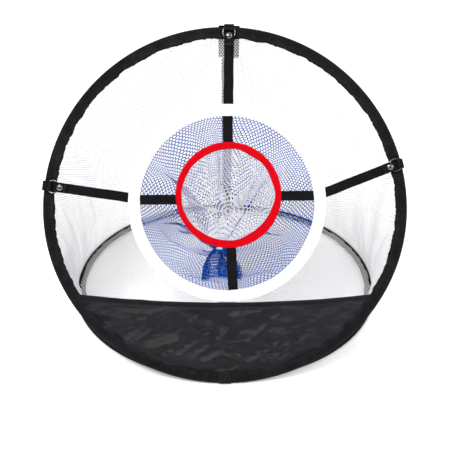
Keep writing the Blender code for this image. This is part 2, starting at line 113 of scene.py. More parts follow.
# ---- Meshes ---------------------------------------------------------------------------------------
def make_mesh(name, points, faces, material, uv=None, flat=False):
    """An object from points and arrays of face corners, with its cloth coordinates in metres."""
    mesh = bpy.data.meshes.new(name)
    points = np.asarray(points, np.float32).reshape(-1, 3)
    mesh.vertices.add(len(points))
    mesh.vertices.foreach_set("co", points.ravel())
    corners = np.concatenate([face.ravel() for face in faces]).astype(np.int32)
    sizes = np.concatenate([np.full(len(face), face.shape[1]) for face in faces])
    starts = np.concatenate([[0], np.cumsum(sizes)[:-1]]).astype(np.int32)
    mesh.loops.add(len(corners))
    mesh.loops.foreach_set("vertex_index", corners)
    mesh.polygons.add(len(sizes))
    mesh.polygons.foreach_set("loop_start", starts)
    mesh.update(calc_edges=True)
    if uv is not None:
        layer = mesh.uv_layers.new(name="cloth")
        layer.data.foreach_set("uv", np.asarray(uv, np.float32).ravel())
    if not flat:
        mesh.shade_smooth()
    mesh.materials.append(material)
    made = bpy.data.objects.new(name, mesh)
    bpy.context.scene.collection.objects.link(made)
    return made


def grid_faces(rows, columns, wrap_rows, wrap_columns):
    """Corner indices of a grid's faces, and the row and column of each corner before wrapping."""
    row, column = np.meshgrid(np.arange(rows if wrap_rows else rows - 1),
                              np.arange(columns if wrap_columns else columns - 1), indexing="ij")
    corner_rows = stack(row, row, row + 1, row + 1).reshape(-1, 4)
    corner_columns = stack(column, column + 1, column + 1, column).reshape(-1, 4)
    index = (corner_rows % rows) * columns + corner_columns % columns
    return index, corner_rows, corner_columns


def end_caps(rows, columns):
    """The two faces that close the ends of a tube, given as a grid whose columns go round it."""
    return [np.arange(columns)[None, ::-1], (rows - 1) * columns + np.arange(columns)[None, :]]


def grid_object(name, points, material, along, across, wrap_rows=False, wrap_columns=False):
    """A surface from a grid of points. along and across are the cloth lengths of its two sides."""
    rows, columns = points.shape[:2]
    index, corner_rows, corner_columns = grid_faces(rows, columns, wrap_rows, wrap_columns)
    row_count = rows if wrap_rows else rows - 1
    column_count = columns if wrap_columns else columns - 1
    uv = stack(corner_rows * along / row_count, corner_columns * across / column_count)
    return make_mesh(name, points, [index], material, uv)


def value_noise(u, v, seed):
    """Smooth noise of two coordinates, from -1 to 1, with a lattice step of 1."""
    table = np.random.default_rng(seed).uniform(-1, 1, (64, 64))
    iu, iv = np.floor(u).astype(int), np.floor(v).astype(int)
    fu, fv = u - iu, v - iv
    fu, fv = fu * fu * (3 - 2 * fu), fv * fv * (3 - 2 * fv)
    a, b = table[iu % 64, iv % 64], table[(iu + 1) % 64, iv % 64]
    c, d = table[iu % 64, (iv + 1) % 64], table[(iu + 1) % 64, (iv + 1) % 64]
    return (a * (1 - fu) + b * fu) * (1 - fv) + (c * (1 - fu) + d * fu) * fv


def ring_noise(angle, waves, seed):
    """Smooth noise round a ring, from -1 to 1, with about this many swings in a turn."""
    table = np.random.default_rng(seed).uniform(-1, 1, waves)
    place = np.asarray(angle) / TAU * waves
    low = np.floor(place).astype(int)
    part = place - low
    part = part * part * (3 - 2 * part)
    return table[low % waves] * (1 - part) + table[(low + 1) % waves] * part


# ---- Bodies and CAD nodes -------------------------------------------------------------------------
def set_on(piece, body, slot, *nodes):
    """Lets a piece move with one body. It takes the place of the CAD nodes named."""
    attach(piece, body)
    if nodes:
        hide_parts(*nodes)
    return piece


def set_across(piece, start, end, node):
    """Bakes a piece's place into its mesh and hides the CAD node that it takes the place of. start and end
    are not used.
    """
    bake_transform(piece)
    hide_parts(node)


# ---- Materials ------------------------------------------------------------------------------------
class Shader:
    """A material on one Principled BSDF, with short ways to add its texture nodes."""

    def __init__(self, name, roughness, metallic=0.0, sheen=0.0, specular=0.5):
        self.material = bpy.data.materials.new(name)
        self.material.use_nodes = True
        self.tree = self.material.node_tree
        self.surface = self.tree.nodes["Principled BSDF"]
        self.set("Roughness", roughness)
        self.set("Metallic", metallic)
        self.set("Specular IOR Level", specular)
        if sheen:
            self.set("Sheen Weight", sheen)
            self.set("Sheen Roughness", 0.4)

    def set(self, socket, value):
        self.surface.inputs[socket].default_value = value

    def feed(self, socket, value):
        """Links another node's output to a socket, or sets the socket to a number or colour."""
        if isinstance(value, bpy.types.NodeSocket):
            self.tree.links.new(value, socket)
        else:
            socket.default_value = value

    def node(self, kind, **inputs):
        made = self.tree.nodes.new(kind)
        for key, value in inputs.items():
            self.feed(made.inputs[key.replace("_", " ")], value)
        return made

    def link(self, output, socket):
        self.tree.links.new(output, self.surface.inputs[socket])

    def cloth_place(self):
        """The cloth coordinates, in metres: along the piece and across it."""
        made = self.tree.nodes.new("ShaderNodeUVMap")
        made.uv_map = "cloth"
        return made.outputs["UV"]

    def row_place(self):
        return self.tree.nodes.new("ShaderNodeTexCoord").outputs["Object"]

    def noise(self, place, scale, detail=2.0, roughness=0.5):
        return self.node("ShaderNodeTexNoise", Vector=place, Scale=scale, Detail=detail,
                         Roughness=roughness).outputs["Fac"]

    def ramp(self, factor, stops):
        made = self.tree.nodes.new("ShaderNodeValToRGB")
        self.tree.links.new(factor, made.inputs["Fac"])
        elements = made.color_ramp.elements
        while len(elements) < len(stops):
            elements.new(0.5)
        for element, (place, colour) in zip(elements, stops):
            element.position = place
            element.color = (*colour, 1.0)
        return made.outputs["Color"]

    def math(self, operation, a, b=0.0):
        made = self.tree.nodes.new("ShaderNodeMath")
        made.operation = operation
        for socket, value in zip(made.inputs, (a, b)):
            self.feed(socket, value)
        return made.outputs["Value"]

    def wave(self, place, period, direction, distortion=0.0):
        """Bands across the cloth coordinates: direction X or Y, one band each period in metres."""
        made = self.node("ShaderNodeTexWave", Vector=place, Scale=TAU / 20 / period,
                         Distortion=distortion, Detail_Scale=1.0)
        made.bands_direction = direction
        return made.outputs["Fac"]

    def bump(self, height, distance, strength=1.0, after=None):
        made = self.node("ShaderNodeBump", Height=height, Distance=distance, Strength=strength)
        if after is not None:
            self.tree.links.new(after, made.inputs["Normal"])
        return made.outputs["Normal"]


def weave_material(name, dark, light, roughness, rib, across_rib, depth, sheen=0.25, specular=0.4,
                   mottle=90.0):
    """A woven tape: ribs across it, finer yarns along it, and a little uneven dye and lint."""
    made = Shader(name, roughness, sheen=sheen, specular=specular)
    place = made.cloth_place()
    ribs = made.wave(place, rib, "X", 0.6)
    yarns = made.wave(place, across_rib, "Y", 0.4)
    weave = made.math("ADD", ribs, made.math("MULTIPLY", yarns, 0.6))
    lint = made.noise(made.row_place(), mottle * 10, 3.0, 0.6)
    cloud = made.noise(made.row_place(), mottle, 2.0)
    mix = made.math("ADD", made.math("MULTIPLY", weave, 0.30), made.math("MULTIPLY", cloud, 0.45))
    mix = made.math("ADD", mix, made.math("MULTIPLY", lint, 0.15))
    made.link(made.ramp(mix, [(0.25, dark), (0.85, light)]), "Base Color")
    fine = made.bump(lint, depth * 0.5, 0.6)
    made.link(made.bump(weave, depth, 1.0, fine), "Normal")
    return made.material


def net_material(name, dark, light, roughness, sheen=0.0, specular=0.25):
    """Knitted polyester yarn: slightly uneven in colour, with a twist that catches light."""
    made = Shader(name, roughness, sheen=sheen, specular=specular)
    place = made.row_place()
    cloud = made.noise(place, 60.0, 2.0)
    twist = made.noise(place, 2600.0, 1.0)
    mix = made.math("ADD", made.math("MULTIPLY", cloud, 0.6), made.math("MULTIPLY", twist, 0.4))
    made.link(made.ramp(mix, [(0.25, dark), (0.8, light)]), "Base Color")
    made.link(made.bump(twist, 0.0001, 0.5), "Normal")
    return made.material


def metal_material(name, dark, light, roughness, wear_scale):
    """Plated steel with dulled patches and fine scratches."""
    made = Shader(name, roughness, metallic=1.0)
    place = made.row_place()
    cloud = made.noise(place, wear_scale, 3.0, 0.6)
    scratch = made.noise(place, wear_scale * 8, 2.0, 0.6)
    made.link(made.ramp(cloud, [(0.35, dark), (0.7, light)]), "Base Color")
    made.link(made.math("ADD", roughness - 0.08, made.math("MULTIPLY", scratch, 0.22)), "Roughness")
    made.link(made.bump(scratch, 0.00008, 0.4), "Normal")
    return made.material


def panel_material():
    """Coated polyester: fine plain weave with a soft sheen on its creases."""
    made = Shader("panel_polyester", 0.27, specular=0.26)
    place = made.cloth_place()
    weave = made.math("ADD", made.wave(place, 0.0011, "X"), made.wave(place, 0.0011, "Y"))
    cloud = made.noise(made.row_place(), 35.0, 3.0)
    mix = made.math("ADD", made.math("MULTIPLY", weave, 0.22), made.math("MULTIPLY", cloud, 0.6))
    made.link(made.ramp(mix, [(0.25, (0.0015, 0.0013, 0.0025)), (0.85, (0.007, 0.006, 0.009))]),
              "Base Color")
    made.link(made.math("ADD", 0.30, made.math("MULTIPLY", cloud, 0.16)), "Roughness")
    creases = made.bump(made.noise(made.row_place(), 120.0, 3.0, 0.55), 0.0008, 0.5)
    made.link(made.bump(weave, 0.00012, 0.6, creases), "Normal")
    return made.material


BLACK_BINDING = weave_material("black_binding_tape", (0.0006, 0.0006, 0.0008), (0.022, 0.022, 0.025),
                               0.62, 0.0030, 0.0014, 0.00060, sheen=0.02, specular=0.06)
BLACK_WEBBING = weave_material("black_webbing_tape", (0.0012, 0.0012, 0.0015), (0.010, 0.010, 0.012),
                               0.66, 0.0016, 0.0012, 0.00030, sheen=0.02, specular=0.06)
WHITE_BINDING = weave_material("white_binding_tape", (0.78, 0.78, 0.79), (0.90, 0.90, 0.90),
                               0.60, 0.0012, 0.0010, 0.00012, sheen=0.05, specular=0.2)
RED_BINDING = weave_material("red_binding_tape", (0.46, 0.0, 0.003), (0.72, 0.0, 0.008),
                             0.60, 0.0013, 0.0009, 0.00018, sheen=0.0, specular=0.04)
LABEL_CLOTH = weave_material("blank_label_cloth", (0.72, 0.72, 0.70), (0.86, 0.86, 0.84),
                             0.60, 0.0009, 0.0009, 0.00012, sheen=0.05, specular=0.2)
WHITE_NET = net_material("white_net_yarn", (0.80, 0.80, 0.81), (0.94, 0.94, 0.94), 0.55)
INNER_NET = net_material("inner_net_yarn", (0.78, 0.78, 0.84), (0.93, 0.93, 0.96), 0.50)
BLUE_NET = net_material("blue_net_yarn", (0.0, 0.042, 0.33), (0.0005, 0.120, 0.64), 0.60, specular=0.03)
PANEL_CLOTH = panel_material()
SPRING_STEEL = metal_material("spring_steel_wire", (0.28, 0.28, 0.29), (0.50, 0.50, 0.51), 0.34, 220.0)
NICKEL = metal_material("worn_nickel", (0.075, 0.068, 0.062), (0.34, 0.32, 0.30), 0.24, 320.0)
BLACK_THREAD = net_material("black_sewing_thread", (0.012, 0.012, 0.013), (0.050, 0.050, 0.055), 0.45)
WHITE_THREAD = net_material("white_sewing_thread", (0.60, 0.60, 0.61), (0.80, 0.80, 0.80), 0.50)
RED_THREAD = net_material("red_sewing_thread", (0.45, 0.003, 0.010), (0.70, 0.008, 0.030), 0.45)


# ---- Net made of threads --------------------------------------------------------------------------
RIGHT_UP, TOP, LEFT_UP, LEFT_DOWN, BOTTOM, RIGHT_DOWN = range(6)    # a cell's corners
OVER, BESIDE = range(2)              # a cell's own meetings: at its top and at its upper right


class Lattice:
    """Hexagonal cells on a flat cloth. Each cell has six inner corners, and each meeting of three
    cells has a corner below, so that every thread is a closed three-sided bar. long_cell is how much
    taller a cell is than a regular one."""

    def __init__(self, width, height, cell, thread, wrap=False, long_cell=1.0):
        self.row_step = cell * math.sqrt(3) / 2 * long_cell
        self.columns = max(3, round(width / cell))
        self.pitch = width / self.columns if wrap else cell
        self.rows = max(2, round(height / self.row_step)) + (0 if wrap else 1)
        if not wrap:
            self.columns += 2
        self.wrap = wrap
        self.thread = thread

    def centres(self):
        row, column = np.meshgrid(np.arange(self.rows), np.arange(self.columns), indexing="ij")
        u = (column + 0.5 * (row % 2)) * self.pitch
        v = row * self.row_step
        return u, v

    def corners(self):
        """Flat places of each cell's six inner corners, and of its top and upper right meetings."""
        u, v = self.centres()
        half, third = self.pitch / 2, self.row_step / 3
        offsets = np.array([(half, third), (0, 2 * third), (-half, third),
                            (-half, -third), (0, -2 * third), (half, -third)])
        shrink = 1 - self.thread / self.pitch
        middle = stack(u, v)[:, :, None, :]
        return middle + offsets * shrink, middle + offsets[[TOP, RIGHT_UP]]

    def faces(self, keep, own):
        """Faces of the threads between kept cells: their front, and the two sides that meet below.
        Only the threads that start at the cells in own are made, so that a net can be in two pieces."""
        rows, columns = keep.shape
        row, column = np.meshgrid(np.arange(rows), np.arange(columns), indexing="ij")
        right = column + 1
        up_right = column + row % 2
        up_left = column - 1 + row % 2

        def cell(r, c):
            return np.minimum(r, rows - 1), c % columns

        def there(r, c):
            return (r < rows) & (self.wrap | ((c >= 0) & (c < columns))) & keep[cell(r, c)]

        def corner(r, c, k):
            r, c = cell(r, c)
            return (r * columns + c) * 6 + k

        def meeting(r, c, k):
            r, c = cell(r, c)
            return rows * columns * 6 + (r * columns + c) * 2 + k

        on_right = there(row, right)
        on_up_right = there(row + 1, up_right)
        on_up_left = there(row + 1, up_left)
        quads, triangles = [], []

        def thread(mask, a, b, c, d, low, high):
            """a, b on this cell and d, c on the next; low and high are the meetings at its ends."""
            for four in ((a, d, c, b), (a, b, high, low), (d, low, high, c)):
                quads.append(np.stack([part[mask] for part in four], -1))

        mine = keep & own
        thread(mine & on_right & there(row - 1, up_right) & (row > 0),
               corner(row, column, RIGHT_DOWN), corner(row, column, RIGHT_UP),
               corner(row, right, LEFT_UP), corner(row, right, LEFT_DOWN),
               meeting(row - 1, up_right, OVER), meeting(row, column, BESIDE))
        thread(mine & on_up_right,
               corner(row, column, RIGHT_UP), corner(row, column, TOP),
               corner(row + 1, up_right, LEFT_DOWN), corner(row + 1, up_right, BOTTOM),
               meeting(row, column, BESIDE), meeting(row, column, OVER))
        thread(mine & on_up_left & there(row, column - 1),
               corner(row, column, TOP), corner(row, column, LEFT_UP),
               corner(row + 1, up_left, BOTTOM), corner(row + 1, up_left, RIGHT_DOWN),
               meeting(row, column, OVER), meeting(row, column - 1, BESIDE))
        triangles.append(stack(corner(row, column, TOP), corner(row + 1, up_right, LEFT_DOWN),
                               corner(row + 1, up_left, RIGHT_DOWN))[mine & on_up_right & on_up_left])
        triangles.append(stack(corner(row, column, RIGHT_UP), corner(row, right, LEFT_UP),
                               corner(row + 1, up_right, BOTTOM))[mine & on_right & on_up_right])
        return [np.concatenate(quads), np.concatenate(triangles)]


def net_object(name, surface, normal, lattice, keep, material, depth, own=None):
    """Threads laid on a surface. surface(u, v) and normal(u, v) give points from flat places."""
    inner, meetings = lattice.corners()
    top = surface(inner[..., 0], inner[..., 1])
    low = surface(meetings[..., 0], meetings[..., 1])
    low = low - depth * normal(meetings[..., 0], meetings[..., 1])
    points = np.concatenate([top.reshape(-1, 3), low.reshape(-1, 3)])
    faces = lattice.faces(keep, keep if own is None else own)
    used = np.unique(np.concatenate([face.ravel() for face in faces]))
    renumber = np.zeros(len(points), int)
    renumber[used] = np.arange(len(used))
    net = make_mesh(name, points[used], [renumber[face] for face in faces], material)
    close_ends(net.data)
    return net


def close_ends(mesh, most_sides=12):
    """Closes the cut ends of the threads along a net's edges, or the open ends of a strip."""
    work = bmesh.new()
    work.from_mesh(mesh)
    open_edges = [edge for edge in work.edges if edge.is_boundary]
    bmesh.ops.holes_fill(work, edges=open_edges, sides=most_sides)
    work.to_mesh(mesh)
    work.free()


# ---- Surfaces that hold a net ---------------------------------------------------------------------
def cubic_weights(part):
    """Catmull-Rom weights of the four points round a place between the middle two."""
    return (0.5 * (-part + 2 * part ** 2 - part ** 3),
            0.5 * (2 - 5 * part ** 2 + 3 * part ** 3),
            0.5 * (part + 4 * part ** 2 - 3 * part ** 3),
            0.5 * (-part ** 2 + part ** 3))


def sample(grid, row, column, wrap_columns=False):
    """Smooth points of a grid at fractional rows and columns."""
    rows, columns = grid.shape[:2]
    row = np.clip(row, 0, rows - 1)
    if not wrap_columns:
        column = np.clip(column, 0, columns - 1)
    row_low, column_low = np.floor(row).astype(int), np.floor(column).astype(int)
    row_weights = cubic_weights(row - row_low)
    column_weights = cubic_weights(column - column_low)
    total = 0.0
    for i, row_weight in enumerate(row_weights):
        r = np.clip(row_low + i - 1, 0, rows - 1)
        for j, column_weight in enumerate(column_weights):
            c = column_low + j - 1
            c = c % columns if wrap_columns else np.clip(c, 0, columns - 1)
            total = total + (row_weight * column_weight)[..., None] * grid[r, c]
    return total


def unit(vectors):
    return vectors / np.maximum(np.linalg.norm(vectors, axis=-1, keepdims=True), 1e-9)


def normal_from(surface, step=0.001):
    """A function that gives the normal of surface(u, v)."""
    def normal(u, v):
        along = surface(u + step, v) - surface(u - step, v)
        down = surface(u, v + step) - surface(u, v - step)
        return unit(np.cross(along, down))
    return normal


# ---- Bindings of the hoops and rings --------------------------------------------------------------
class Tape:
    """How a folded binding looks: half its thickness over the wire and over its flat leg, the width of
    the part round the wire, its ribs' spacing and height, the size and number of waves along its free
    edge, how deep its seam is pulled in, where the seam runs and the seed of its unevenness."""

    def __init__(self, half, leg, bulb, rib, rib_height, wave, waves, pucker, stitch_inset, seed):
        self.half, self.leg, self.bulb = half, leg, bulb
        self.rib, self.rib_height = rib, rib_height
        self.wave, self.waves = wave, waves
        self.pucker, self.stitch_inset, self.seed = pucker, stitch_inset, seed


STITCH_STEP = 0.0034
STITCH = (0.0024, 0.00055, 0.0005)   # length, width and height
ROWS_PER_RIB = 4


def binding_section(hoop, tape):
    """Insets and heights of the upper half of the section, from the outer edge to the inner edge."""
    bulb = tape.bulb
    insets = [0.0, 0.05 * bulb, 0.2 * bulb, 0.45 * bulb, 0.68 * bulb, 0.88 * bulb, bulb * 1.08]
    heights = [0.0, 0.42, 0.80, 1.0, 0.93, 0.66, 0.0]
    heights = [tape.leg + (tape.half - tape.leg) * h if i > 1 else tape.half * h
               for i, h in enumerate(heights)]
    flat_part = [1.28 * bulb, tape.stitch_inset - 0.0012, tape.stitch_inset, tape.stitch_inset + 0.0010,
                 hoop.width - 0.0006, hoop.width]
    insets += flat_part
    heights += [tape.leg * 0.97, tape.leg, tape.leg * 0.70, tape.leg, tape.leg * 0.8, 0.0]
    return np.array(insets), np.array(heights)


def binding_points(hoop, tape, angles):
    insets, heights = binding_section(hoop, tape)
    inset = np.concatenate([insets, insets[-2:0:-1]])
    height = np.concatenate([heights, -heights[-2:0:-1]])
    angle = angles[:, None]
    arc = angle * hoop.radius
    free = np.clip((inset - tape.bulb) / (hoop.width - tape.bulb), 0, 1)
    wobble = tape.wave * (ring_noise(angle, tape.waves, tape.seed)
                          + 0.6 * ring_noise(angle, tape.waves * 3, tape.seed + 1))
    shaped_inset = inset + wobble * free
    ribs = tape.rib_height * np.sin(TAU * arc / tape.rib + 1.5 * ring_noise(angle, 90, tape.seed + 2))
    on_face = np.clip(np.abs(height) / tape.leg, 0, 1)
    tight = np.exp(-((inset - tape.stitch_inset) / 0.0009) ** 2)
    pucker = tape.pucker * tight * (0.5 + 0.5 * np.cos(TAU * arc / STITCH_STEP))
    side = np.sign(height)
    buckle = 0.35 * tape.wave * free * ring_noise(angle + 0.3, tape.waves * 2, tape.seed + 3)
    shaped_height = height + side * (ribs * on_face - pucker) + buckle
    edge_ribs = np.where(inset < 0.1 * tape.bulb, 0.5 * ribs, 0.0)
    shaped_inset = np.maximum(shaped_inset - edge_ribs, -0.0003)
    return hoop.at(angle, shaped_inset, shaped_height)


def binding_object(name, hoop, tape, material):
    rows = int(hoop.length() / tape.rib) * ROWS_PER_RIB
    angles = np.arange(rows) * TAU / rows
    points = binding_points(hoop, tape, angles)
    insets, heights = binding_section(hoop, tape)
    round_it = 2 * float(np.hypot(np.diff(insets), np.diff(heights)).sum())
    return grid_object(name, points, material, hoop.length(), round_it, True, True)


def lozenges(centres, along, across, up, length, width, height):
    """Small pointed bars, one for each centre: the points and faces of a run of stitches."""
    ends = [along * length / 2, across * width / 2 - along * length * 0.22,
            across * width / 2 + along * length * 0.22]
    ring = [ends[1], ends[2], -ends[1], -ends[2]]
    points = np.stack([centres - ends[0], *[centres + r for r in ring], centres + ends[0],
                       centres + up * height / 2, centres - up * height / 2], 1)
    loop = [0, 1, 2, 5, 3, 4]
    pattern = []
    for i, a in enumerate(loop):
        b = loop[(i + 1) % len(loop)]
        pattern += [(a, b, 7), (b, a, 6)]
    faces = (np.arange(len(centres)) * 8)[:, None, None] + np.array(pattern)
    return points.reshape(-1, 3), faces.reshape(-1, 3)


def stitches_object(name, runs, material):
    """runs is a list of (centres, along, up) for lines of stitches."""
    points, faces, count = [], [], 0
    for centres, along, up in runs:
        up = np.broadcast_to(up, centres.shape)
        across = unit(np.cross(up, along))
        more, more_faces = lozenges(centres, along, across, up, *STITCH)
        points.append(more)
        faces.append(more_faces + count)
        count += len(more)
    return make_mesh(name, np.concatenate(points), [np.concatenate(faces)], material)


def ring_stitches(name, hoop, tape, material):
    count = int(hoop.length() / STITCH_STEP)
    angles = (np.arange(count) + 0.5) * TAU / count
    ahead = hoop.at(angles + 0.002, tape.stitch_inset)
    along = unit(ahead - hoop.at(angles, tape.stitch_inset))
    runs = []
    for side in (1, -1):
        centres = hoop.at(angles, tape.stitch_inset, side * (tape.leg * 0.70 + 0.0002))
        runs.append((centres, along, side * hoop.normal))
    return stitches_object(name, runs, material)


HOOP_TAPE = Tape(0.0034, 0.0015, 0.0066, 0.0030, 0.00034, 0.0009, 150, 0.0003, 0.0140, 11)
BASE_TAPE = Tape(0.0034, 0.0015, 0.0066, 0.0030, 0.00030, 0.0007, 150, 0.0003, 0.0140, 23)
WHITE_TAPE = Tape(0.0031, 0.0014, 0.0060, 0.0040, 0.00006, 0.0004, 40, 0.0002, 0.0144, 37)
RED_TAPE = Tape(0.0026, 0.0013, 0.0050, 0.0026, 0.00008, 0.0022, 6, 0.0002, 0.0084, 52)

BOUND = [(FRONT_HOOP, HOOP_TAPE, BLACK_BINDING, BLACK_THREAD, "front", "black_binding",
          ("front_binding", "front_hoop_sleeve", "front_binding_stitching")),
         (BASE_HOOP, BASE_TAPE, BLACK_BINDING, BLACK_THREAD, "base", "black_binding",
          ("base_binding", "base_hoop_sleeve", "base_binding_stitching")),
         (WHITE_RING, WHITE_TAPE, WHITE_BINDING, WHITE_THREAD, "white_ring", "white_binding",
          ("white_ring_binding", "white_ring_sleeve", "white_ring_stitching")),
         (RED_RING, RED_TAPE, RED_BINDING, RED_THREAD, "red_ring", "red_binding",
          ("red_ring_binding", "red_ring_sleeve", "red_ring_stitching"))]
for hoop, tape, cloth, thread, body, slot, (binding, sleeve, stitching) in BOUND:
    set_on(binding_object(binding, hoop, tape, cloth), body, slot, sleeve)
    set_on(ring_stitches(stitching, hoop, tape, thread), body, slot)
for name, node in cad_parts.items():
    if name.endswith(("_wire", "_ferrule")):
        node.data.materials.clear()
        node.data.materials.append(SPRING_STEEL)

# ---- Net tent and floor net -----------------------------------------------------------------------
NET_INSET = 0.0162                   # the net's upper edge, in from the front hoop's outer edge
NET_BEHIND = -0.0022                 # and behind its middle plane
FOOT_INSET = 0.0044                  # its lower edge, in from the ground hoop's outer edge
FOOT_HEIGHT = 0.0034
NET_OVERLAP = 0.0040                 # how far the net runs into the bindings
TENT_RADIUS = HOOP_R - NET_INSET
TENT_SAG = 0.012                     # how far the net bows in where it is longest
TENT_MIDDLE = np.array([0.0, 0.0, 0.06])


def tent_ends(angle):
    top = FRONT_HOOP.at(angle, NET_INSET, NET_BEHIND)
    foot = BASE_HOOP.at(angle, FOOT_INSET, FOOT_HEIGHT)
    return top, foot


def tent_surface(start):
    """The net between the two hoops, from an angle on. u runs round the hoops and v down the net."""
    def surface(u, v):
        angle = start + u / TENT_RADIUS
        top, foot = tent_ends(angle)
        span = foot - top
        length = np.linalg.norm(span, axis=-1)
        share = v / np.maximum(length, 1e-6)
        inner = np.clip(share, 0, 1)
        bow = TENT_SAG * np.sin(math.pi * inner) * np.clip(length / 0.25, 0, 1)
        creases = (0.0020 * value_noise(u / 0.030, v / 0.11, 5)
                   + 0.0009 * value_noise(u / 0.011, v / 0.06, 6))
        edge = np.sin(math.pi * inner) ** 0.5
        inward = unit(TENT_MIDDLE - (top + foot) / 2)
        return top + share[..., None] * span + (bow + creases * edge)[..., None] * inward
    return surface


def angular_blend(piece):
    """Bakes a piece's place into its mesh and reads its points, without moving them."""
    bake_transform(piece)
    points = np.zeros(len(piece.data.vertices) * 3, np.float32)
    piece.data.vertices.foreach_get("co", points)


def declare_net(lattice, cells, lengthened=1.0):
    """Works out the width and length of a net's cut from its cells, and does not keep them. lengthened is
    its mean length as a share of the lattice's."""
    u, v = lattice.centres()
    width = float(np.ptp(u[cells])) + lattice.pitch
    length = (float(np.ptp(v[cells])) + lattice.row_step) * lengthened


NET_CELL = 0.0038
NET_THREAD = 0.00112
NET_DEPTH = 0.00050                  # from the front of a thread to its back
TENT_SPLIT = 0.42                    # where each half is in two pieces, as a share of its longest drop


def tent_half(node, start):
    angles = start + np.linspace(0, math.pi, 181)
    top, foot = tent_ends(angles)
    longest = float(np.linalg.norm(foot - top, axis=-1).max())
    width = math.pi * TENT_RADIUS
    lattice = Lattice(width, longest + 0.02, NET_CELL, NET_THREAD)
    u, v = lattice.centres()
    v = v - NET_OVERLAP
    shifted = tent_surface(start)

    def surface(a, b):
        return shifted(a, b - NET_OVERLAP)

    top, foot = tent_ends(start + u / TENT_RADIUS)
    length = np.linalg.norm(foot - top, axis=-1)
    behind = (surface(u, v + NET_OVERLAP) - FRONT_FOOT) @ FRONT_NORMAL
    keep = (u > -0.001) & (u < width + 0.001) & (v < length + NET_OVERLAP) & (behind < -0.0004)
    upper = v < longest * TENT_SPLIT
    for suffix, own in (("upper", upper), ("lower", ~upper)):
        piece = net_object(f"{node}_{suffix}", surface, normal_from(surface), lattice, keep, WHITE_NET,
                           NET_DEPTH, own)
        angular_blend(piece)
        declare_net(lattice, keep & own)
        if suffix == "upper":
            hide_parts(node)


tent_half("outer_net_right", -math.pi / 2)
tent_half("outer_net_left", math.pi / 2)

FLOOR_CELL = 0.0048
FLOOR_THREAD = 0.00120
FLOOR_DEPTH = 0.00025
FLOOR_INSET = 0.0066                 # the floor net's edge, in from the ground hoop's outer edge
FLOOR_SLACK = 0.0021                 # how far the floor net's slack lifts it, and its mean height
FLOOR_HEIGHT = 0.0022
FLOOR_LOWEST = 0.0009
ON_BINDING = 0.0062                  # its height where it lies on the ground hoop's binding
BINDING_FROM = 0.0225                # where it starts to climb on the binding, in from the outer edge
BINDING_CLIMB = 0.0045               # and how far it takes


def floor_mesh():
    radius = HOOP_R - FLOOR_INSET
    lattice = Lattice(2 * radius, 2 * radius, FLOOR_CELL, FLOOR_THREAD)

    def surface(u, v):
        x, y = u - radius, v - radius
        far = np.hypot(x, y) / radius
        slack = np.clip(1 - far, 0, 1) ** 0.5
        height = FLOOR_HEIGHT + FLOOR_SLACK * slack * (value_noise(x / 0.05, y / 0.07, 8)
                                                       + 0.5 * value_noise(x / 0.02, y / 0.03, 9))
        on_binding = np.clip((np.hypot(x, y) - (HOOP_R - BINDING_FROM)) / BINDING_CLIMB, 0, 1)
        lift = on_binding * on_binding * (3 - 2 * on_binding)
        height = np.maximum(height, FLOOR_LOWEST) * (1 - lift) + ON_BINDING * lift
        return stack(x, y + BASE_HOOP.centre_v, height)

    u, v = lattice.centres()
    keep = np.hypot(u - radius, v - radius) < radius
    piece = net_object("floor_net_mesh", surface, normal_from(surface), lattice, keep, WHITE_NET,
                       -FLOOR_DEPTH)
    set_on(piece, "base", "white_net", "floor_net")
    declare_net(lattice, keep)


floor_mesh()

# ---- Cloth that is left to settle -----------------------------------------------------------------
def settle(start, rest, pinned, wrap, frames, gravity, bending):
    """Lets a grid of cloth cut to the rest grid's lengths settle from its starting place."""
    rows, columns = start.shape[:2]
    index = grid_faces(rows, columns, False, wrap)[0]
    cloth_object = make_mesh("settling_cloth", start, [index], WHITE_NET)
    cloth_object.shape_key_add(name="Basis")
    key = cloth_object.shape_key_add(name="cut")
    key.data.foreach_set("co", np.asarray(rest, np.float32).ravel())
    group = cloth_object.vertex_groups.new(name="held")
    group.add([int(i) for i in np.flatnonzero(pinned.ravel())], 1.0, "REPLACE")
    modifier = cloth_object.modifiers.new("Cloth", "CLOTH")
    cloth = modifier.settings
    cloth.vertex_group_mass = "held"
    cloth.rest_shape_key = key
    cloth.quality = 6
    cloth.mass = 0.02
    cloth.tension_stiffness = 20.0
    cloth.compression_stiffness = 20.0
    cloth.shear_stiffness = 6.0
    cloth.bending_stiffness = bending
    cloth.air_damping = 3.0
    cloth.effector_weights.gravity = gravity
    modifier.collision_settings.use_collision = False
    modifier.point_cache.frame_start = 1
    modifier.point_cache.frame_end = frames
    scene = bpy.context.scene
    for number in range(1, frames + 1):
        scene.frame_set(number)
    settled = cloth_object.evaluated_get(bpy.context.evaluated_depsgraph_get())
    points = np.zeros(rows * columns * 3, np.float32)
    settled.data.vertices.foreach_get("co", points)
    scene.frame_set(1)
    mesh = cloth_object.data
    bpy.data.objects.remove(cloth_object)
    bpy.data.meshes.remove(mesh)
    return points.reshape(rows, columns, 3).astype(float)


# ---- Pockets --------------------------------------------------------------------------------------
POCKET_COLUMNS = 184
POCKET_ROWS = 56
NET_BENDING = 0.01


